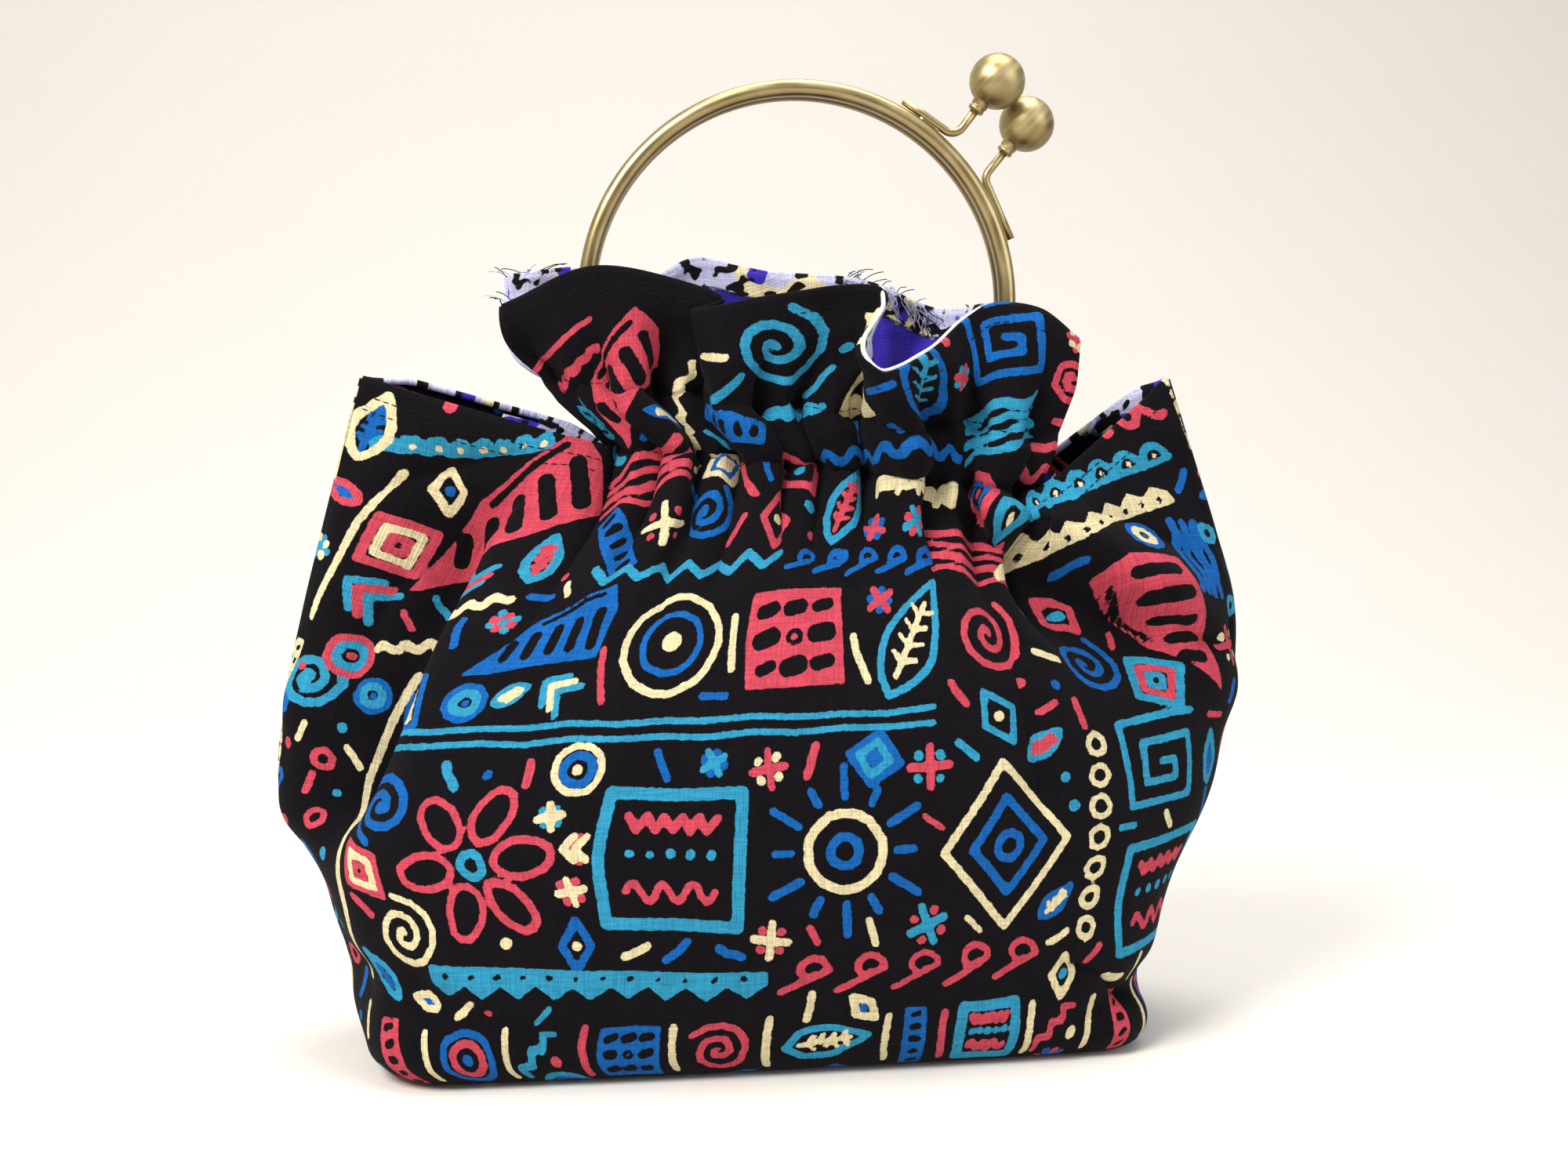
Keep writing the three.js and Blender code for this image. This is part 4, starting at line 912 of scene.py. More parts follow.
# Ornaments on the flat cloth: kind, place across, place up, size, turn in degrees, ink, and a second ink if it has one.
LAYOUT = (
    # Main band
    ("petals", -99, 79, 27, 8, "coral", "turquoise"), ("panel", -36, 80, 23, -2, "turquoise", "coral"),
    ("sun", 20, 81, 28, 0, "royal", "cream"), ("lozenge", 74, 80, 27, 3, "cream", "royal"),
    ("rings", -68, 109, 8, 0, "cream", "royal"), ("small_lozenge", -69, 53, 8, 0, "royal", "cream"),
    ("chevrons", -66, 84, 5, 90, "cream", "coral"), ("cross", -5, 108, 7, 10, "coral", "cream"),
    ("cross", -5, 53, 7, -6, "cream", "coral"), ("cross", 48, 107, 8, 0, "coral", "turquoise"),
    ("cross", 47, 56, 8, 20, "turquoise", "coral"), ("beads", 107, 80, 34, 90, "cream"),
    ("coil", -130, 56, 13, 40, "cream"), ("coil", -131, 98, 13, 200, "royal"),
    # Border along the bottom
    ("saw", -64, 41, 58, -2, "turquoise"), ("hooks", 44, 42, 46, 1, "coral"),
    ("ladder", -140, 14, 13, 12, "coral"), ("bar", -126, 15, 9, 0, "cream"),
    ("rings", -110, 15, 10, 0, "royal", "coral"), ("bar", -95, 15, 9, 0, "cream"),
    ("steps", -81, 14, 10, 0, "turquoise", "coral"), ("bar", -66, 15, 10, 0, "coral"),
    ("tile", -50, 14, 11, 0, "royal"), ("bar", -35, 15, 9, 0, "cream"),
    ("coil", -20, 14, 11, 90, "coral"), ("bar", -5, 15, 9, 0, "cream"),
    ("leaf", 14, 15, 13, 10, "turquoise", "cream"), ("bar", 33, 15, 9, 0, "cream"),
    ("ladder", 43, 14, 12, 0, "royal"), ("bar", 53, 15, 9, 0, "coral"),
    ("panel", 70, 15, 11, 0, "turquoise", "coral"), ("bar", 87, 15, 9, 0, "cream"),
    ("steps", 100, 14, 10, 0, "coral", "cream"), ("bar", 113, 15, 9, 0, "cream"),
    ("ladder", 129, 14, 11, 8, "coral"), ("bar", 144, 15, 9, 0, "cream"),
    ("rings", 160, 15, 9, 0, "royal", "coral"),
    # Middle lines
    ("line", -42, 119, 92, 1, "turquoise"), ("line", -42, 124, 92, 1, "turquoise"),
    # Upper band
    ("fan", -92, 150, 25, 12, "royal"), ("rings", -44, 150, 18, 0, "cream", "royal"),
    ("tile", 2, 151, 18, 4, "coral"), ("leaf", 46, 150, 22, 62, "turquoise", "cream"),
    ("coil", 76, 150, 15, 0, "coral"), ("bar", -67, 140, 9, 12, "coral"),
    ("bar", -21, 150, 9, 4, "cream"), ("bar", 26, 143, 8, 20, "cream"),
    ("zigzag", -48, 178, 38, 3, "turquoise"), ("hooks", 26, 180, 32, -3, "royal"),
    ("stripes", 78, 180, 20, -8, "coral"), ("small_lozenge", -14, 196, 11, 0, "coral", "cream"),
    ("coil", -46, 200, 11, 0, "royal"), ("leaf", 16, 201, 14, 70, "turquoise", "coral"),
    ("bar", -28, 212, 9, 24, "coral"), ("fret", 52, 204, 20, -4, "cream"),
    ("wave", 40, 220, 32, -2, "royal"),
    # Left side and shoulder
    ("bar", -152, 92, 56, -8, "cream"), ("spots", -168, 82, 44, 86, "coral", "turquoise"),
    ("coil", -176, 138, 11, 0, "turquoise"), ("spots", -184, 96, 48, 88, "royal", "coral"),
    ("fan", -132, 200, 34, 36, "coral"), ("wave", -136, 162, 24, 22, "cream"),
    ("nest", -134, 132, 9, 6, "royal", "cream"), ("ladder", -84, 190, 16, 40, "royal"),
    ("bar", -177, 186, 28, -10, "cream"), ("rings", -166, 148, 7, 0, "coral", "turquoise"),
    ("scallops", -154, 225, 27, 12, "turquoise", "cream"), ("leaf", -182, 226, 12, 80, "cream", "royal"),
    # Right side and shoulder
    ("line", 146, 229, 37, 17, "coral"), ("wave", 143, 219, 38, 17, "coral"),
    ("scallops", 136, 200, 44, 17, "turquoise", "cream"), ("saw", 130, 186, 44, 197, "cream"),
    ("coil", 118, 140, 13, 0, "royal"), ("fan", 156, 150, 26, 100, "coral"),
    ("square_coil", 134, 104, 17, 4, "turquoise"), ("spots", 184, 150, 50, 92, "turquoise", "royal"),
    ("panel", 140, 58, 20, 4, "turquoise", "coral"), ("wave", 172, 70, 34, 88, "royal"),
    ("coil", 178, 108, 11, 0, "coral"), ("spots", 184, 44, 32, 90, "royal", "coral"),
    ("stripes", 171, 174, 14, 80, "royal"), ("small_lozenge", 103, 162, 9, 20, "turquoise", "coral"),
    ("saw", 187, 216, 30, 94, "cream"), ("saw", -187, 120, 30, -94, "cream"),
    # Casing and ruffle
    ("fan", -72, 252, 25, 40, "coral"), ("zigzag", -48, 240, 22, 70, "cream"),
    ("stripes", -82, 217, 20, 16, "coral"), ("coil", -8, 262, 15, 30, "turquoise"),
    ("goblet", 26, 254, 20, 4, "cream", "coral"), ("ladder", -26, 236, 12, 60, "royal"),
    ("hooks", 3, 238, 11, 0, "turquoise"), ("leaf", 58, 246, 19, 84, "royal", "turquoise"),
    ("square_coil", 95, 257, 15, 8, "royal"), ("stripes", 92, 226, 18, 12, "turquoise"),
    ("bar", -36, 266, 10, 20, "coral"), ("steps", 75, 268, 8, 10, "coral", "cream"),
    ("coil", 120, 246, 9, 0, "coral"), ("coil", -99, 246, 10, 0, "turquoise"),
    ("wave", -92, 264, 14, 24, "coral"), ("line", -94, 274, 15, 22, "coral"),
    # Underside
    ("zigzag", -80, -18, 60, 0, "coral"), ("hooks", 28, -20, 46, 0, "turquoise"),
    ("fret", 112, -16, 28, 0, "cream"), ("wave", 0, -36, 110, 0, "royal"),
)


# Small ornaments in the gaps, in millimetres: step of the search, cloth left bare round each, least room, greatest
# size, and the height and half width of the part of the ruffle that stays plain.
GAP_STEP = 5
BARE_RIM = 2.4
LEAST_ROOM = 5.2
GREATEST_SIZE = 9.5
PLAIN_HEIGHT, PLAIN_HALF_WIDTH = 262, 110


def fill_gaps(cloth_print):
    """Ornaments wherever the layout leaves black cloth bare, the widest gaps first."""
    rng = random.Random(17)
    spare = np.array([
        (u + rng.uniform(-3, 3), v + rng.uniform(-3, 3))
        for u in range(-184, 187, GAP_STEP) for v in range(-6, 292, GAP_STEP)
    ])
    room = cloth_print.distances(*spare.T, margin=13.0).min(axis=1)
    taken = []
    for index in np.argsort(-room, kind="stable"):
        x, y = spare[index]
        if y > PLAIN_HEIGHT and abs(x) < PLAIN_HALF_WIDTH:
            continue
        clear = min([room[index], *(math.hypot(x - a, y - b) - size for a, b, size in taken)])
        if clear < LEAST_ROOM:
            continue
        ink, second = rng.sample(INKS, 2)
        size = min(clear - BARE_RIM, GREATEST_SIZE)
        turn = rng.uniform(0, 180)
        small = Motif(cloth_print, x, y, size, turn, ink, second)
        if size > 5.5:
            kinds = ("small_lozenge", "leaf", "rings", "nest", "cross", "chevrons" if size > 7 else "leaf")
            getattr(small, rng.choice(kinds))()
        elif size > 3.6:
            getattr(small, rng.choice(("bar", "bar", "cross" if size > 4.5 else "bar")))()
        elif rng.random() < 0.5:
            small.spot(0, 0, 1.7)
        else:
            small.draw(((-1, 0), (1, 0.1)), width=1.15)
        taken.append((x, y, size))


def make_print(_):
    cloth_print = Print(29)
    for kind, *place_and_inks in LAYOUT:
        getattr(Motif(cloth_print, *place_and_inks), kind)()
    fill_gaps(cloth_print)
    return cloth_print


def ink_cloth(mesh, turned):
    """Each corner's distances from the inks as an attribute, with the layout mirrored on the back."""
    u, v = (kept_values(mesh, name).astype(float) for name in ("u", "v"))
    found = made_once("drawn_print").distances(-u if turned else u, v)
    layer = mesh.attributes.new("inks", "FLOAT_COLOR", "POINT")
    layer.data.foreach_set("color", found.astype(np.float32).ravel())


# Materials


class Value:
    """A socket of a material with the operators of plain maths."""

    def __init__(self, paint, socket):
        self.paint, self.socket = paint, socket

    def maths(self, operation, *values):
        return self.paint.node("ShaderNodeMath", {"operation": operation}, dict(enumerate(values)))

    def __add__(self, other):
        return self.maths("ADD", self, other)

    def __radd__(self, other):
        return self.maths("ADD", other, self)

    def __sub__(self, other):
        return self.maths("SUBTRACT", self, other)

    def __rsub__(self, other):
        return self.maths("SUBTRACT", other, self)

    def __mul__(self, other):
        return self.maths("MULTIPLY", self, other)

    def __rmul__(self, other):
        return self.maths("MULTIPLY", other, self)

    def __abs__(self):
        return self.maths("ABSOLUTE", self)

    def sine(self):
        return self.maths("SINE", self)

    def root(self):
        return self.maths("SQRT", self)

    def highest(self, other):
        return self.maths("MAXIMUM", self, other)

    def lowest(self, other):
        return self.maths("MINIMUM", self, other)

    def between(self, low, high):
        """0 at low and 1 at high, smooth and held outside them."""
        return self.paint.node(
            "ShaderNodeMapRange", {"interpolation_type": "SMOOTHSTEP"}, {0: self, 1: low, 2: high, 3: 0.0, 4: 1.0}
        )


class Paint:
    """The nodes of a new material or world, added one by one."""

    def __init__(self, owner):
        self.owner = owner
        owner.use_nodes = True
        self.tree = owner.node_tree
        self.tree.nodes.clear()

    def node(self, kind, settings=None, values=None, output=0):
        """A node with its settings made first and its sockets given values or links; returns one of its outputs."""
        made = self.tree.nodes.new(kind)
        for name, value in (settings or {}).items():
            if name == "stops":
                self.set_stops(made.color_ramp, value)
            else:
                setattr(made, name, value)
        for name, value in (values or {}).items():
            self.feed(made.inputs[name], value)
        return Value(self, made.outputs[output])

    def set_stops(self, ramp, stops):
        while len(ramp.elements) < len(stops):
            ramp.elements.new(0.5)
        for element, (position, color) in zip(ramp.elements, stops):
            element.position, element.color = position, color

    def feed(self, socket, value):
        if isinstance(value, Value):
            self.tree.links.new(value.socket, socket)
        else:
            socket.default_value = value

    def mix(self, share, first, second):
        return self.node("ShaderNodeMix", {"data_type": "RGBA"}, {0: share, 6: first, 7: second}, output=2)

    def noise(self, vector, scale, detail=2.0, roughness=0.5):
        return self.node(
            "ShaderNodeTexNoise", None, {"Vector": vector, "Scale": scale, "Detail": detail, "Roughness": roughness}
        )

    def vector(self, x, y, z):
        return self.node("ShaderNodeCombineXYZ", None, {0: x, 1: y, 2: z})

    def parts(self, vector):
        made = self.node("ShaderNodeSeparateXYZ", None, {0: vector})
        outputs = made.socket.node.outputs
        return [Value(self, outputs[k]) for k in range(3)]

    def bump(self, height, distance, strength):
        return self.node("ShaderNodeBump", None, {"Height": height, "Distance": distance, "Strength": strength})

    def shaded(self, color, share):
        """A colour darkened by a share that varies."""
        return self.node("ShaderNodeMix", {"data_type": "RGBA", "blend_type": "MULTIPLY"},
                         {0: 1.0, 6: color, 7: self.vector(share, share, share)}, output=2)

    def on_cloth(self, name, output=0):
        """What a cloth mesh keeps on its corners under a name."""
        return self.node("ShaderNodeAttribute", {"attribute_type": "GEOMETRY", "attribute_name": name}, output=output)

    def place(self):
        return self.node("ShaderNodeTexCoord", output=3)

    def close(self, shader, output):
        end = self.tree.nodes.new(output)
        self.tree.links.new(shader.socket, end.inputs["Surface"])
        return self.owner

    def finish(self, **values):
        """The surface shader; names are its sockets, with underscores for spaces."""
        sockets = {name.replace("_", " "): value for name, value in values.items()}
        return self.close(self.node("ShaderNodeBsdfPrincipled", None, sockets), "ShaderNodeOutputMaterial")


def new_paint(name):
    return Paint(bpy.data.materials.new(name))


def linear(color):
    """A colour picked on screen as the linear numbers that a shader takes, with alpha."""
    return tuple((c / 12.92 if c <= 0.04045 else ((c + 0.055) / 1.055) ** 2.4) for c in color[:3]) + (1.0,)


def darkened(shade, share):
    return tuple(c * share for c in shade[:3]) + (1.0,)


# Of the weave, in units of 100 mm: pitches of the threads, and waves of their unevenness across and along them.
WARP_PITCH = 0.0088
WEFT_PITCH = 0.0061
SLUB_ACROSS, SLUB_ALONG = 118.0, 9.0


def weave(paint):
    """Plain weave on the flat cloth coordinates: the height of the threads and their slow unevenness."""
    u, v, _ = paint.parts(paint.node("ShaderNodeUVMap", {"uv_map": "cloth"}))
    warp_sine, weft_sine = (u * (math.pi / WARP_PITCH)).sine(), (v * (math.pi / WEFT_PITCH)).sine()
    over = (warp_sine * weft_sine * 5.0 + 0.5).highest(0.0).lowest(1.0)
    height = over * abs(warp_sine) + (1 - over) * abs(weft_sine)
    lengthwise = paint.noise(paint.vector(u * SLUB_ACROSS, v * SLUB_ALONG, 0.0), 1.0)
    crosswise = paint.noise(paint.vector(u * SLUB_ALONG, v * SLUB_ACROSS, 3.0), 1.0)
    slub = ((lengthwise + crosswise) * 0.5).between(0.34, 0.66)
    return u, v, height, slub


def print_material(colours):
    """Black cotton with the drawn print; the inks follow the threads at their edges."""
    paint = new_paint("printed_cotton")
    u, v, height, slub = weave(paint)
    inks = paint.on_cloth("inks")
    distances = dict(zip(INKS, (*paint.parts(inks), Value(paint, inks.socket.node.outputs["Alpha"]))))
    place = paint.vector(u, v, 0.0)
    shake = (paint.noise(place, 42.0, 3.0) - 0.5) * 1.1 + (height - 0.5) * 0.16
    color = paint.mix(paint.noise(place, 9.0, 3.0), linear(colours.black), linear(colours.black_worn))
    covered = None
    for name in INK_ORDER:
        inside = 1 - (distances[name] + shake).between(-0.12, 0.12)
        shade = linear(getattr(colours, name))
        color = paint.mix(inside, color, paint.mix(slub, darkened(shade, 0.74), shade))
        covered = inside if covered is None else covered.highest(inside)
    worn = paint.noise(place, 60.0).between(0.55, 0.75) * 0.16
    # The ground and inks are darkened where the weave dips, a painted shade between the threads; worn patches and slubs
    # vary the tone as well.
    return paint.finish(
        Base_Color=paint.shaded(color, 0.7 + height * 0.34 - worn + slub * 0.08),
        Roughness=0.93 - covered * 0.1 - slub * 0.1,
        Normal=paint.bump(height * 0.6 + slub * 0.9 + covered * 0.25, 0.00022, 0.8),
        Specular_IOR_Level=0.08,
        Sheen_Weight=0.02,
    )


def lining_material(colours):
    """Violet-blue cotton with a pale blotched border along its edge."""
    paint = new_paint("lining_cotton")
    u, v, height, slub = weave(paint)
    rim = paint.on_cloth("rim", output=2)
    place = paint.vector(u, v, 0.0)
    black, lilac, cream, violet, light = (
        linear(getattr(colours, name)) for name in ("black", "lilac", "cream", "lining", "lining_light")
    )
    color = paint.mix(paint.noise(place, 3.4).between(0.5, 0.62), violet, light)
    ragged = rim + (paint.noise(place, 30.0) - 0.5) * 4.0
    border = 1 - ragged.between(LINING_BORDER - 0.2, LINING_BORDER + 0.4)
    bars = paint.noise(paint.vector(u + rim * 0.004, rim * 0.012, 7.0), 17.0, 1.0, 0.45)
    tint = lilac
    for start, scale, low, high, patch in ((2.0, 5.5, 0.6, 0.62, cream), (5.0, 9.0, 0.62, 0.65, light)):
        tint = paint.mix(paint.noise(paint.vector(u, rim * 0.01, start), scale, 0.0).between(low, high), tint, patch)
    color = paint.mix(border, color, paint.mix(bars.between(0.43, 0.47), black, tint))
    fold = 1 - abs(rim - LINING_BORDER).between(0.3, 0.8)
    color = paint.mix(fold * 0.8, color, black)
    # The colour is darkened where the weave dips, a painted shade between the threads, and varies along the slubs.
    return paint.finish(
        Base_Color=paint.shaded(color, 0.74 + height * 0.3 + (slub - 0.5) * 0.3),
        Roughness=0.92 - slub * 0.1,
        Normal=paint.bump(height * 0.7 + slub, 0.0002, 0.8),
        Specular_IOR_Level=0.15,
        Sheen_Weight=0.05,
    )


def brass_material(name, colours, round_hoop):
    """Antique brass with soft brush marks and painted shade on its underside."""
    paint = new_paint(name)
    place = paint.place()
    x, y, z = paint.parts(place)
    if round_hoop:
        centre = hoop_centre(0)
        flat_x, flat_z = x - float(centre[0]), z - float(centre[2])
        angle = flat_x.maths("ARCTAN2", flat_z, flat_x)
        radius = (flat_x * flat_x + flat_z * flat_z).root()
        streaks = paint.noise(paint.vector(angle * 4.0, radius * 380.0, y * 380.0), 1.0, 1.0, 0.4)
    else:
        streaks = paint.noise(paint.vector((x + z) * 26.0, y * 60.0, (x - z) * 330.0), 1.0, 1.5, 0.4)
    cloud = paint.noise(place, 130.0, 3.0)
    down = paint.parts(paint.node("ShaderNodeNewGeometry", output=1))[2]
    # Painted shade: faces that point down are darkened towards the underside colour.
    shaded = 1 - down.between(-0.75, 0.35)
    streaks = streaks.between(0.25, 0.75)
    share, smoothest = (0.3, 0.25) if round_hoop else (0.7, 0.34)
    color = paint.mix(streaks * share + cloud * (1 - share), linear(colours.brass_dark), linear(colours.brass))
    return paint.finish(
        Base_Color=paint.mix(shaded * 0.7, color, linear(colours.brass_painted_shade)),
        Metallic=1.0,
        Roughness=smoothest + streaks * 0.12 + cloud * 0.06,
        Normal=paint.bump(streaks, 0.00004, 0.25),
    )


def thread_material(name, color, pitch):
    """Twisted sewing thread."""
    paint = new_paint(name)
    x, y, z = paint.parts(paint.place())
    twist = ((x + y * 0.6 + z) * (2 * math.pi / pitch)).sine() * 0.5 + 0.5
    shade = linear(color)
    # The colour is darker in the grooves of the twist, a painted shade.
    return paint.finish(
        Base_Color=paint.mix(twist, darkened(shade, 0.55), shade),
        Roughness=0.8 - twist * 0.15,
        Normal=paint.bump(twist, 0.00008, 0.7),
        Specular_IOR_Level=0.15,
    )


def floor_material(color):
    """Pale matt board, faintly mottled."""
    paint = new_paint("pale_board")
    shade = linear(color)
    mottled = paint.mix(paint.noise(paint.place(), 3.0, 4.0), darkened(shade, 0.96), shade)
    return paint.finish(Base_Color=mottled, Roughness=0.9, Specular_IOR_Level=0.2)


def studio_world():
    """Soft light from above, dimmer towards the floor."""
    paint = Paint(bpy.data.worlds.new("studio"))
    height = paint.parts(paint.node("ShaderNodeTexCoord"))[2]
    stops = ((0.0, (0.3, 0.28, 0.26, 1)), (0.2, (0.5, 0.48, 0.46, 1)), (0.7, (1.0, 0.99, 0.97, 1)))
    sky = paint.node("ShaderNodeValToRGB", {"stops": stops}, {0: height})
    glow = paint.node("ShaderNodeBackground", None, {"Color": sky, "Strength": 0.6})
    return paint.close(glow, "ShaderNodeOutputWorld")


_made = {}
MAKERS = {
    "drawn_print": make_print,
    "printed": print_material,
    "lining": lining_material,
    "hoop_brass": lambda colours: brass_material("brushed_hoop_brass", colours, True),
    "ball_brass": lambda colours: brass_material("brushed_ball_brass", colours, False),
    "white": lambda colours: thread_material("white_cotton", colours.white, 0.0011),
    "thread": lambda colours: thread_material("black_thread", colours.black_worn, 0.0008),
    "pale_threads": lambda colours: thread_material("pale_thread", colours.lilac, 0.0006),
    "dark_threads": lambda colours: thread_material("dark_thread", colours.black_worn, 0.0006),
}


def made_once(name):
    """A material, or the print, made when it is first asked for."""
    if name not in _made:
        _made[name] = MAKERS[name](bpy.context.scene.handbag_colours)
    return _made[name]


def cloth_of(side, counts=FINE):
    """The grids of one side, made once: fine for the outer cloth, coarser for the lining."""
    key = (side["name"], counts["columns"])
    if key not in _made:
        _made[key] = ClothGrid(side, **counts)
    return _made[key]


# The metal frame


def hoop_centre(y):
    return (np.array((HOOP_SIDE_SHIFT, y, HOOP_CENTRE_HEIGHT)) + ORIGIN) * MM


def frame_matrix(y):
    """From the plane of a hoop, in metres, to its place in the bag."""
    return Matrix.Translation(Vector(hoop_centre(y))) @ Matrix.Rotation(FRAME_TILT, 4, "Y")


def on_hoop(angle, radius):
    return Vector((radius * math.cos(math.radians(angle)), 0, radius * math.sin(math.radians(angle))))


def sweep(bm, points, radius, sides, ends=True):
    """A round rod along a list of points, extruded ring by ring and capped at both ends."""
    points = [Vector(p) for p in points]
    runs = [(b - a).normalized() for a, b in zip(points, points[1:])]
    directions = [runs[0], *((a + b).normalized() for a, b in zip(runs, runs[1:])), runs[-1]]
    turn = Vector((0, 0, 1)).rotation_difference(directions[0]).to_matrix().to_4x4()
    ring = bmesh.ops.create_circle(
        bm, segments=sides, radius=radius, matrix=Matrix.Translation(points[0]) @ turn, cap_ends=False
    )["verts"]
    edges = list(dict.fromkeys(e for v in ring for e in v.link_edges))
    first = edges
    for before, here, old, new in zip(points, points[1:], directions, directions[1:]):
        made = bmesh.ops.extrude_edge_only(bm, edges=edges)["geom"]
        verts = [g for g in made if isinstance(g, bmesh.types.BMVert)]
        edges = [g for g in made if isinstance(g, bmesh.types.BMEdge)]
        bmesh.ops.translate(bm, verts=verts, vec=here - before)
        bmesh.ops.rotate(bm, verts=verts, cent=here, matrix=old.rotation_difference(new).to_matrix())
    if ends:
        for loop in (first, edges):
            bmesh.ops.holes_fill(bm, edges=loop, sides=0)


def sweep_in_bag(bm, places, radius, sides):
    """The same along places of the bag's own frame, all in millimetres."""
    sweep(bm, [Vector((place + ORIGIN) * MM) for place in places], radius * MM, sides)


def spun(bm, profile, matrix, steps):
    """A closed turned shape: a profile of (radius, height) from pole to pole, spun about Z."""
    verts = [bm.verts.new((radius, 0, height)) for radius, height in profile]
    edges = [bm.edges.new(pair) for pair in zip(verts, verts[1:])]
    bmesh.ops.spin(
        bm, geom=[*verts, *edges], cent=(0, 0, 0), axis=(0, 0, 1), dvec=(0, 0, 0), angle=2 * math.pi, steps=steps,
        use_merge=True, use_duplicate=False,
    )
    bmesh.ops.remove_doubles(bm, verts=bm.verts, dist=1e-6)
    bmesh.ops.transform(bm, matrix=matrix, verts=bm.verts)


# Metal parts. A stem lies along its hoop from foot to heel, in degrees round it, lifted by lifts in millimetres, and
# then leans out to a ball that stands off the hoop. The collar's profile holds shares of its radius and rises in
# metres, and the hinge's half length is metres.
BRAZE_SINK = 0.35
STEM_BEND = 4.4
COLLAR_PROFILE = ((0.86, 0), (1, 0.0003), (1, 0.0012), (0.9, 0.0015), (0.9, 0.0019), (1.04, 0.0023))
HINGE_HALF = 0.0044
HINGE_LEAN = math.radians(-23.3)
STEMS = {
    "front": {"foot": 68.3, "heel": 56.5, "lifts": (1.0, 0.7), "lean": 58.8, "ball": 53.8, "standoff": 26.2},
    "back": {"foot": 22.8, "heel": 36.0, "lifts": (2.0, 1.7), "lean": 57.0, "ball": 43.8, "standoff": 26.2},
}


def stem_route(stem):
    """A clasp stem in the plane of its hoop, in millimetres: a straight leg, a tight bend and a straight neck."""
    rim = HOOP_DIAMETER / 2
    brazed = rim + STEM_DIAMETER / 2 - BRAZE_SINK
    ball = on_hoop(stem["ball"], rim + stem["standoff"])
    along = on_hoop(stem["lean"], 1)
    foot, heel = (on_hoop(stem[end], brazed + lift) for end, lift in zip(("foot", "heel"), stem["lifts"]))
    leg = (heel - foot).normalized()
    away = ball - foot
    reach = (away.x * along.z - away.z * along.x) / (leg.x * along.z - leg.z * along.x)
    corner = foot + leg * reach
    half = (-leg).angle(along) / 2
    centre = corner + (along - leg).normalized() * STEM_BEND / math.sin(half)
    start = corner - leg * STEM_BEND / math.tan(half) - centre
    end = corner + along * STEM_BEND / math.tan(half) - centre
    bend = [centre + start.slerp(end, k / 9).normalized() * start.length for k in range(10)]
    return [foot, (foot + bend[0]) / 2, *bend, ball - along * (BALL_DIAMETER / 2 - 0.5)], ball, along


def hoop_path():
    """Points round the D of a hoop, closed, starting in the middle of its bar."""
    height = BAR_CORNER_RADIUS - BAR_DROP
    reach = math.sqrt((HOOP_RADIUS - BAR_CORNER_RADIUS) ** 2 - height**2)
    angle = math.degrees(math.atan2(height, reach))
    points = [Vector((reach * k / 5, 0, -BAR_DROP)) for k in range(5)]
    points += [Vector((reach, 0, height)) + on_hoop(a, BAR_CORNER_RADIUS) for a in np.linspace(-90, angle, 8)[:-1]]
    points += [on_hoop(a, HOOP_RADIUS) for a in np.linspace(angle, 180 - angle, 120)[:-1]]
    last_turns = np.linspace(180 - angle, 270, 8)[:-1]
    points += [Vector((-reach, 0, height)) + on_hoop(a, BAR_CORNER_RADIUS) for a in last_turns]
    points += [Vector((-reach * (5 - k) / 5, 0, -BAR_DROP)) for k in range(5)]
    return points


# Add-on


def length_property(name, description, default, least):
    return bpy.props.FloatProperty(name=name, description=description, default=default, min=least, unit="LENGTH")


def colour_property(name, description, default):
    return bpy.props.FloatVectorProperty(
        name=name, description=description, default=[c / 255 for c in default], size=3, min=0, max=1,
        subtype="COLOR_GAMMA",
    )


class HandbagSizes(bpy.types.PropertyGroup):
    """Sizes that a maker would change."""

    stitch_length: length_property("Stitch length", "Length of one machine stitch", 0.0026, 0.001)
    stitch_gap: length_property("Stitch gap", "Gap between two stitches", 0.0007, 0.0002)
    thread: length_property("Thread", "Thickness of the sewing thread", 0.00045, 0.0002)
    hem: length_property("Hem", "Distance of the hem stitches from the top edge", 0.0066, 0.002)
    rod: length_property("Hoop rod", "Thickness of the hoops' rod", 0.006, 0.003)
    ball: length_property("Clasp ball", "Width across a clasp ball", 0.019, 0.01)


class HandbagColours(bpy.types.PropertyGroup):
    """Colours of the cloth, the metal and the stage, as seen on screen."""

    black: colour_property("Ground", "Black ground of the printed cloth", (8, 6, 10))
    black_worn: colour_property("Worn ground", "Ground where the dye has faded", (17, 15, 19))
    coral: colour_property("Coral ink", "Coral red of the print", (202, 72, 90))
    royal: colour_property("Blue ink", "Royal blue of the print", (18, 97, 176))
    turquoise: colour_property("Turquoise ink", "Turquoise of the print", (48, 149, 188))
    cream: colour_property("Cream ink", "Cream of the print", (228, 214, 170))
    lining: colour_property("Lining", "Violet-blue of the lining", (42, 32, 142))
    lining_light: colour_property("Lining blobs", "Lighter violet of the lining", (62, 44, 178))
    white: colour_property("White edge", "White edge of the lining's seam allowance", (236, 236, 232))
    lilac: colour_property("Lining edge", "Lilac-white of the lining's border", (196, 196, 228))
    brass: colour_property("Brass", "Bright brass of the frame", (222, 206, 156))
    brass_dark: colour_property("Brass marks", "Brushed marks in the brass", (160, 137, 86))
    # Painted shade for the frame's downward faces.
    brass_painted_shade: colour_property("Brass underside", "Dark brass on the underside", (92, 72, 46))
    floor: colour_property("Floor", "Pale floor and backdrop", (236, 232, 226))


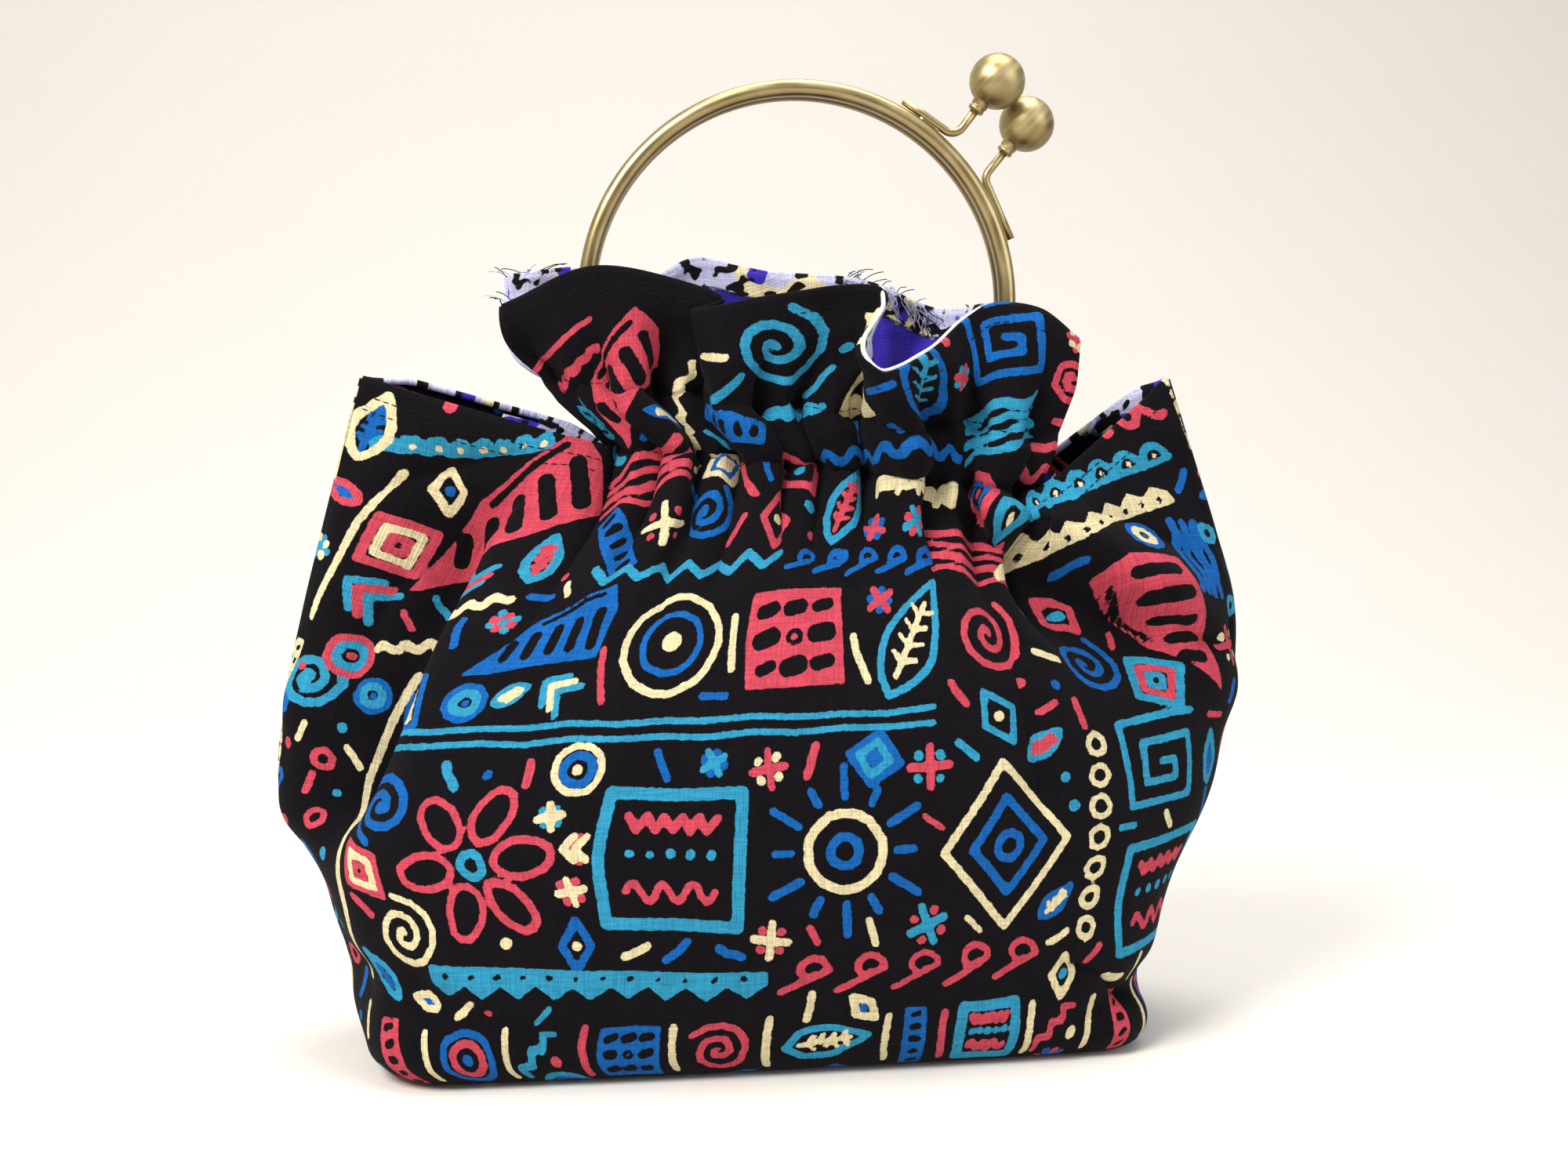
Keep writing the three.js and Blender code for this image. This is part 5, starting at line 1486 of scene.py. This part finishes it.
class HANDBAG_OT_outer_cloth(bpy.types.Operator):
    """Makes the printed outer cloth of the front and the back"""

    bl_idname = "handbag.outer_cloth"
    bl_label = "Outer cloth"

    def execute(self, context):
        for side in SIDES:
            names = [f"{side['name']}_turned_hem", f"{side['name']}_stitches"]
            names += [] if side is FRONT else [name for name, _, _ in FRAYED]
            piece = cloth_piece(cloth_of(side), "outer", "panel", LAYER_OUT, "printed")
            ink_cloth(piece.data, side is BACK)
        return {"FINISHED"}


class HANDBAG_OT_lining(bpy.types.Operator):
    """Makes the lining of the front and the back, behind the bars of the hoops"""

    bl_idname = "handbag.lining"
    bl_label = "Lining"

    def execute(self, context):
        for side in SIDES:
            cloth_piece(lining_cloth(side), "inner", "lining", -LAYER_OUT, "lining", clear_of_hoop)
        return {"FINISHED"}


def lining_cloth(side):
    """The lining's grids, pressed back to pass behind the bar."""
    cloth = cloth_of(side, COARSE)
    target = side["face"] * (BEHIND_BAR + CLOTH_WALL / 2 + LAYER_GAP / 2)
    for row, lift in enumerate(np.linspace(-CASING_HEIGHT / 2, CASING_HEIGHT / 2, COARSE["casing_rows"] + 1)):
        behind = 1 - smooth(BAR_CLEAR * 0.9, CASING_HEIGHT / 2, abs(lift))
        cloth.flap_grid[row, :, 1] = lerp(cloth.flap_grid[row, :, 1], target, behind)
    cloth.body_normals, cloth.flap_normals = cloth.normals(cloth.body, cloth.flap_grid)
    return cloth


def clear_of_hoop(place):
    """True where the lining meets no side of a hoop."""
    x, _, z = place
    lift = z - casing_height(x)
    if abs(lift) > CASING_HEIGHT / 2 + 1 or lift < -BAR_CLEAR:
        return True
    drop = BAR_DROP - BAR_CLEAR
    reach = math.sqrt(HOOP_RADIUS**2 - drop**2) - ROD_DIAMETER / 2 - 1
    return abs(x - HOOP_SIDE_SHIFT + drop * math.sin(FRAME_TILT)) < reach


class HANDBAG_OT_hoops(bpy.types.Operator):
    """Makes the two hoops with their brazed clasp stems"""

    bl_idname = "handbag.hoops"
    bl_label = "Hoops"

    def execute(self, context):
        for label, y in HOOP_PLACES:
            stem = STEMS[label]
            braze = [on_hoop(lerp(stem["heel"], stem["foot"], k / 10), HOOP_DIAMETER / 2 + 0.1) for k in range(6)]
            rods = ((stem_route(stem)[0], STEM_DIAMETER / 2, 16), (braze, 0.5 + max(stem["lifts"]) * 0.6, 8))
            bm = bmesh.new()
            sweep(bm, [p * MM for p in hoop_path()], context.scene.handbag_sizes.rod / 2, 24, ends=False)
            bmesh.ops.remove_doubles(bm, verts=bm.verts, dist=1e-6)
            for route, radius, sides in rods:
                sweep(bm, [p * MM for p in route], radius * MM, sides)
            bmesh.ops.transform(bm, matrix=frame_matrix(y), verts=bm.verts)
            new_piece(f"{label}_round_hoop", bm, made_once("hoop_brass"), f"{label}_hoop")
        return {"FINISHED"}


class HANDBAG_OT_clasp_balls(bpy.types.Operator):
    """Makes the two clasp balls with their collars"""

    bl_idname = "handbag.clasp_balls"
    bl_label = "Clasp balls"

    def execute(self, context):
        radius = context.scene.handbag_sizes.ball / 2
        collar = COLLAR_DIAMETER / 2 * MM
        foot = -radius - COLLAR_LENGTH * MM
        profile = [(0, foot)]
        profile += [(collar * share, foot + rise) for share, rise in COLLAR_PROFILE]
        start = math.asin(collar * COLLAR_PROFILE[-1][0] / radius)
        profile += [(radius * math.sin(a), -radius * math.cos(a)) for a in np.linspace(start, math.pi, 30)[:-1]]
        profile.append((0, radius))
        for label, y in HOOP_PLACES:
            _, ball, along = stem_route(STEMS[label])
            turn = Vector((0, 0, 1)).rotation_difference(along).to_matrix().to_4x4()
            bm = bmesh.new()
            spun(bm, profile, frame_matrix(y) @ Matrix.Translation(ball * MM) @ turn, 48)
            new_piece(f"{label}_round_ball", bm, made_once("ball_brass"), f"{label}_clasp_ball")
        return {"FINISHED"}


class HANDBAG_OT_hinge(bpy.types.Operator):
    """Makes the knuckled hinge barrel between the hoops"""

    bl_idname = "handbag.hinge"
    bl_label = "Hinge"

    def execute(self, context):
        low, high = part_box("frame_hinge")
        radius = (high.y - low.y) / 2 * 0.98
        profile = [(0, -HINGE_HALF)]
        for knuckle in range(3):
            start = -HINGE_HALF + 2 * HINGE_HALF * knuckle / 3
            end = start + 2 * HINGE_HALF / 3
            profile += [(radius * 0.85, start + 0.0001), (radius, start + 0.0004), (radius, end - 0.0004),
                        (radius * 0.85, end - 0.0001)]
        profile.append((0, HINGE_HALF))
        bm = bmesh.new()
        spun(bm, profile, Matrix.Translation((low + high) / 2) @ Matrix.Rotation(HINGE_LEAN, 4, "Y"), 20)
        new_piece("hinge_barrel", bm, made_once("hoop_brass"), "frame_hinge")
        return {"FINISHED"}


class HANDBAG_OT_hems(bpy.types.Operator):
    """Turns the top edges of cloth and lining over each other, and lets the lining's white edge show at the spout"""

    bl_idname = "handbag.hems"
    bl_label = "Hems"

    def execute(self, context):
        for side in SIDES:
            bm = bmesh.new()
            flat = []
            for places, u, v in free_edges(cloth_of(side)):
                sweep_in_bag(bm, places, EDGE_TUBE, HEM_SIDES)
                flat += [(*pair, 0.0) for pair in zip(u, v) for _ in range(HEM_SIDES)]
            material = made_once("printed" if side is FRONT else "lining")
            piece = new_piece(f"{side['name']}_turned_hem", bm, material)
            for name, values in zip(("u", "v", "rim"), np.array(flat, np.float32).T):
                layer = piece.data.attributes.new(name, "FLOAT", "POINT")
                layer.data.foreach_set("value", np.ascontiguousarray(values))
            lay_flat(piece.data)
            ink_cloth(piece.data, side is BACK)
        bm = bmesh.new()
        sweep_in_bag(bm, spout_edge(cloth_of(FRONT)), 0.85, 8)
        new_piece("white_lining_edge", bm, made_once("white"))
        return {"FINISHED"}


def free_edges(cloth):
    """The free edges of one side with their flat coordinates: the ears, and round the flap."""
    left, right = cloth.slit
    body = (cloth.body[-1], cloth.body_u[-1], cloth.body_v[-1])
    flap = (cloth.flap_grid, cloth.flap_u, cloth.flap_v)
    return (
        [grid[:left + 1] for grid in body],
        [grid[right:] for grid in body],
        [grid[:, 0] for grid in flap],
        [grid[:, -1] for grid in flap],
        [grid[-1] for grid in flap],
    )


def spout_edge(cloth):
    """A line just inside the top edge where the front ruffle turns out."""
    top, outward = cloth.flap_grid[-1], cloth.flap_normals[-1]
    knots = [ruffle_knot(FRONT, FRONT_RUFFLE[k]) for k in SPOUT_KNOTS]
    first, last = (int(np.argmin(np.linalg.norm(top - knot, axis=1))) for knot in knots)
    return smooth_curve((top - 0.9 * outward + (0, 0, 1.15))[first:last:6], 4)


class HANDBAG_OT_stitches(bpy.types.Operator):
    """Sews the casing rows, the hems of the ruffles and the hems of the ears"""

    bl_idname = "handbag.stitches"
    bl_label = "Stitches"

    def execute(self, context):
        sizes = context.scene.handbag_sizes
        for side in SIDES:
            bm = bmesh.new()
            for places, normals in stitch_rows(cloth_of(side), sizes.hem / MM):
                sew(bm, places, normals, sizes)
            new_piece(f"{side['name']}_stitches", bm, made_once("thread"), recalculate=False)
        return {"FINISHED"}


def stitch_rows(cloth, hem):
    """Lines of places and normals just over the outer cloth, one for each row of stitches."""
    body, flap = cloth.offset(LAYER_OUT + 0.05)
    left, right = cloth.slit
    rows = [(flap[row][2:-2], cloth.flap_normals[row][2:-2]) for row in (0, FINE["casing_rows"])]
    rows.append(line_at(flap, cloth.flap_normals, cloth.flap_rim, hem))
    for rim in EAR_HEM_ROWS:
        for columns in (slice(2, left), slice(right + 1, -2)):
            rows.append(line_at(body[:, columns], cloth.body_normals[:, columns], cloth.body_rim[:, columns], rim))
    return rows


def line_at(grid, normals, rim, distance):
    """The line of a grid at a distance below its top edge, and its normals."""
    both = np.concatenate((grid, normals), axis=-1)
    line = []
    for column in range(grid.shape[1]):
        order = np.argsort(rim[:, column])
        line.append([np.interp(distance, rim[order, column], both[order, column, k]) for k in range(6)])
    return np.array(line)[:, :3], np.array(line)[:, 3:]


def read_along(at, reached, values):
    """Three numbers kept along a line, read at a distance along it."""
    return Vector([np.interp(at, reached, numbers) for numbers in values.T])


def sew(bm, places, normals, sizes):
    """One stitch after another along a line of places."""
    reached = walked(places) * MM
    placed = (places + ORIGIN) * MM
    half = sizes.stitch_length / 2
    step = sizes.stitch_length + sizes.stitch_gap
    shape = Matrix.Diagonal((half, sizes.thread / 2, sizes.thread / 2, 1))
    for index in range(int(reached[-1] / step)):
        middle = (index + 0.5) * step
        start, end = (read_along(middle + reach, reached, placed) for reach in (-half, half))
        along = (end - start).normalized()
        across = along.cross(read_along(middle, reached, normals)).normalized()
        turn = Matrix((along, across, across.cross(along))).transposed().to_4x4()
        place = Matrix.Translation((start + end) / 2)
        bmesh.ops.create_uvsphere(bm, u_segments=6, v_segments=4, radius=1, matrix=place @ turn @ shape)


# Frayed threads: piece, seed and how many lie on the back heading; and tufts that stand out of the top edges: side,
# place along the flap, spread and how many.
FRAYED = (("pale_threads", 41, 26), ("dark_threads", 42, 12))
TUFTS = ((BACK, 0.66, 0.07, 12), (BACK, 0.87, 0.05, 5), (BACK, 0.03, 0.03, 5), (FRONT, 0.01, 0.012, 4))


class HANDBAG_OT_frayed_threads(bpy.types.Operator):
    """Pulls a few frayed threads out of the hems"""

    bl_idname = "handbag.frayed_threads"
    bl_label = "Frayed threads"

    def execute(self, context):
        for name, seed, count in FRAYED:
            rng = random.Random(seed)
            bm = bmesh.new()
            for _ in range(count):
                sweep_in_bag(bm, lying_thread(cloth_of(BACK), rng), 0.16, 5)
            for side, share, spread, standing in TUFTS:
                for _ in range(standing):
                    sweep_in_bag(bm, standing_thread(cloth_of(side).flap_grid[-1], share, spread, rng), 0.17, 5)
            new_piece(name, bm, made_once(name))
        return {"FINISHED"}


def lying_thread(cloth, rng):
    """The route of a thread that lies on the inner face of the heading, down from its edge."""
    rows, columns = cloth.flap_grid.shape[:2]
    begin, lean = rng.uniform(0.58, 0.76), rng.uniform(0.005, 0.05)
    reach, curl = rng.uniform(3, 9), rng.uniform(-0.012, 0.012)
    route = []
    for t in np.linspace(0, 1, 9):
        row = rows - 1 - reach * t
        column = int(np.clip(begin + lean * t + curl * math.sin(6 * t), 0, 1) * (columns - 1))
        inner = cloth.flap_grid[:, column] - (1.6 + 0.5 * math.sin(3 * t)) * cloth.flap_normals[:, column]
        route.append(lerp(inner[int(row)], inner[min(int(row) + 1, rows - 1)], row - int(row)))
    return smooth_curve(route, 2)


def standing_thread(top, share, spread, rng):
    """The route of a thread that stands up out of a top edge and bends over."""
    column = (share + rng.uniform(-spread, spread)) * (len(top) - 1)
    start = top[int(np.clip(column, 0, len(top) - 1))]
    length, lean = rng.uniform(4, 11), rng.uniform(-1.2, 1.2)
    knots = [
        start + (lean * length * t + rng.uniform(-0.8, 0.8) * t, rng.uniform(-1.5, 1.5) * t,
                 length * (t - 0.55 * t * t) * 0.9 - 0.6)
        for t in (0, 0.25, 0.5, 0.75, 1)
    ]
    return smooth_curve(knots, 4)


# Lights: name, place, width, power and colour. The backdrop rises in a bend that starts behind the bag.
LIGHTS = (
    ("key", (-0.75, -0.8, 1.15), 0.7, 24.0, (1.0, 0.97, 0.93)),
    ("fill", (1.1, -0.8, 0.6), 1.0, 5.0, (0.95, 0.97, 1.0)),
    ("top", (0.15, 0.1, 1.5), 1.1, 13.0, (1.0, 1.0, 1.0)),
)
LIGHT_AIM = Vector((0, 0, 0.15))
BEND_START, BEND_RADIUS = 0.6, 0.9

# The camera of the photograph: 4 degrees to the left, 5 degrees above the floor, 700 mm away.
CAMERA_TURN, CAMERA_RISE, CAMERA_DISTANCE = math.radians(-4), math.radians(5), 0.7
CAMERA_TARGET = (0.008, 0, 0.1575)
SENSOR_WIDTH = 36
LENS = SENSOR_WIDTH * 2567 / 2000


class HANDBAG_OT_stage(bpy.types.Operator):
    """Makes the floor, the soft lights and the camera"""

    bl_idname = "handbag.stage"
    bl_label = "Stage"

    def execute(self, context):
        floor = smooth_mesh("floor", backdrop(), floor_material(context.scene.handbag_colours.floor))
        for name, place, size, power, color in LIGHTS:
            light = bpy.data.lights.new(name, "AREA")
            light.shape, light.size, light.energy, light.color = "DISK", size, power, color
            lamp = add_object(name, light)
            lamp.location = place
            lamp.rotation_euler = (LIGHT_AIM - Vector(place)).to_track_quat("-Z", "Y").to_euler()
        context.scene.world = studio_world()
        context.scene.view_settings.view_transform = "Standard"
        context.scene.camera = photo_camera()
        return {"FINISHED"}


def backdrop():
    """A floor that bends up behind the bag."""
    bm = bmesh.new()
    bmesh.ops.create_grid(bm, x_segments=1, y_segments=40, size=3.0)
    for vert in bm.verts:
        past = vert.co.y - BEND_START
        if past > 0:
            angle = min(past / BEND_RADIUS, math.pi / 2)
            vert.co.y = BEND_START + BEND_RADIUS * math.sin(angle)
            vert.co.z = BEND_RADIUS * (1 - math.cos(angle)) + max(past - BEND_RADIUS * angle, 0)
    return bm


def photo_camera():
    level = math.cos(CAMERA_RISE)
    back = Vector((math.sin(CAMERA_TURN) * level, -math.cos(CAMERA_TURN) * level, math.sin(CAMERA_RISE)))
    data = bpy.data.cameras.new("camera")
    data.sensor_width = SENSOR_WIDTH
    data.lens = LENS
    camera = add_object("camera", data)
    camera.location = Vector(CAMERA_TARGET) + Vector(ORIGIN * MM) + back * CAMERA_DISTANCE
    camera.rotation_euler = (-back).to_track_quat("-Z", "Y").to_euler()
    return camera


class HANDBAG_PT_panel(bpy.types.Panel):
    """Lists the steps that build the handbag"""

    bl_label = "Handbag"
    bl_idname = "HANDBAG_PT_panel"
    bl_space_type = "VIEW_3D"
    bl_region_type = "UI"
    bl_category = "Handbag"

    def draw(self, context):
        for group in (context.scene.handbag_sizes, context.scene.handbag_colours):
            for name in group.__annotations__:
                self.layout.prop(group, name)
        for step in STEPS:
            self.layout.operator(step.bl_idname)


STEPS = (
    HANDBAG_OT_stage,
    HANDBAG_OT_hoops,
    HANDBAG_OT_clasp_balls,
    HANDBAG_OT_hinge,
    HANDBAG_OT_hems,
    HANDBAG_OT_stitches,
    HANDBAG_OT_frayed_threads,
    HANDBAG_OT_outer_cloth,
    HANDBAG_OT_lining,
)
CLASSES = (HandbagSizes, HandbagColours, *STEPS, HANDBAG_PT_panel)


def register():
    for each in CLASSES:
        bpy.utils.register_class(each)
    bpy.types.Scene.handbag_sizes = bpy.props.PointerProperty(type=HandbagSizes)
    bpy.types.Scene.handbag_colours = bpy.props.PointerProperty(type=HandbagColours)


def unregister():
    del bpy.types.Scene.handbag_sizes
    del bpy.types.Scene.handbag_colours
    for each in reversed(CLASSES):
        bpy.utils.unregister_class(each)


def main():
    register()
    for step in STEPS:
        group, name = step.bl_idname.split(".")
        getattr(getattr(bpy.ops, group), name)()


if __name__ == "__main__":
    main()
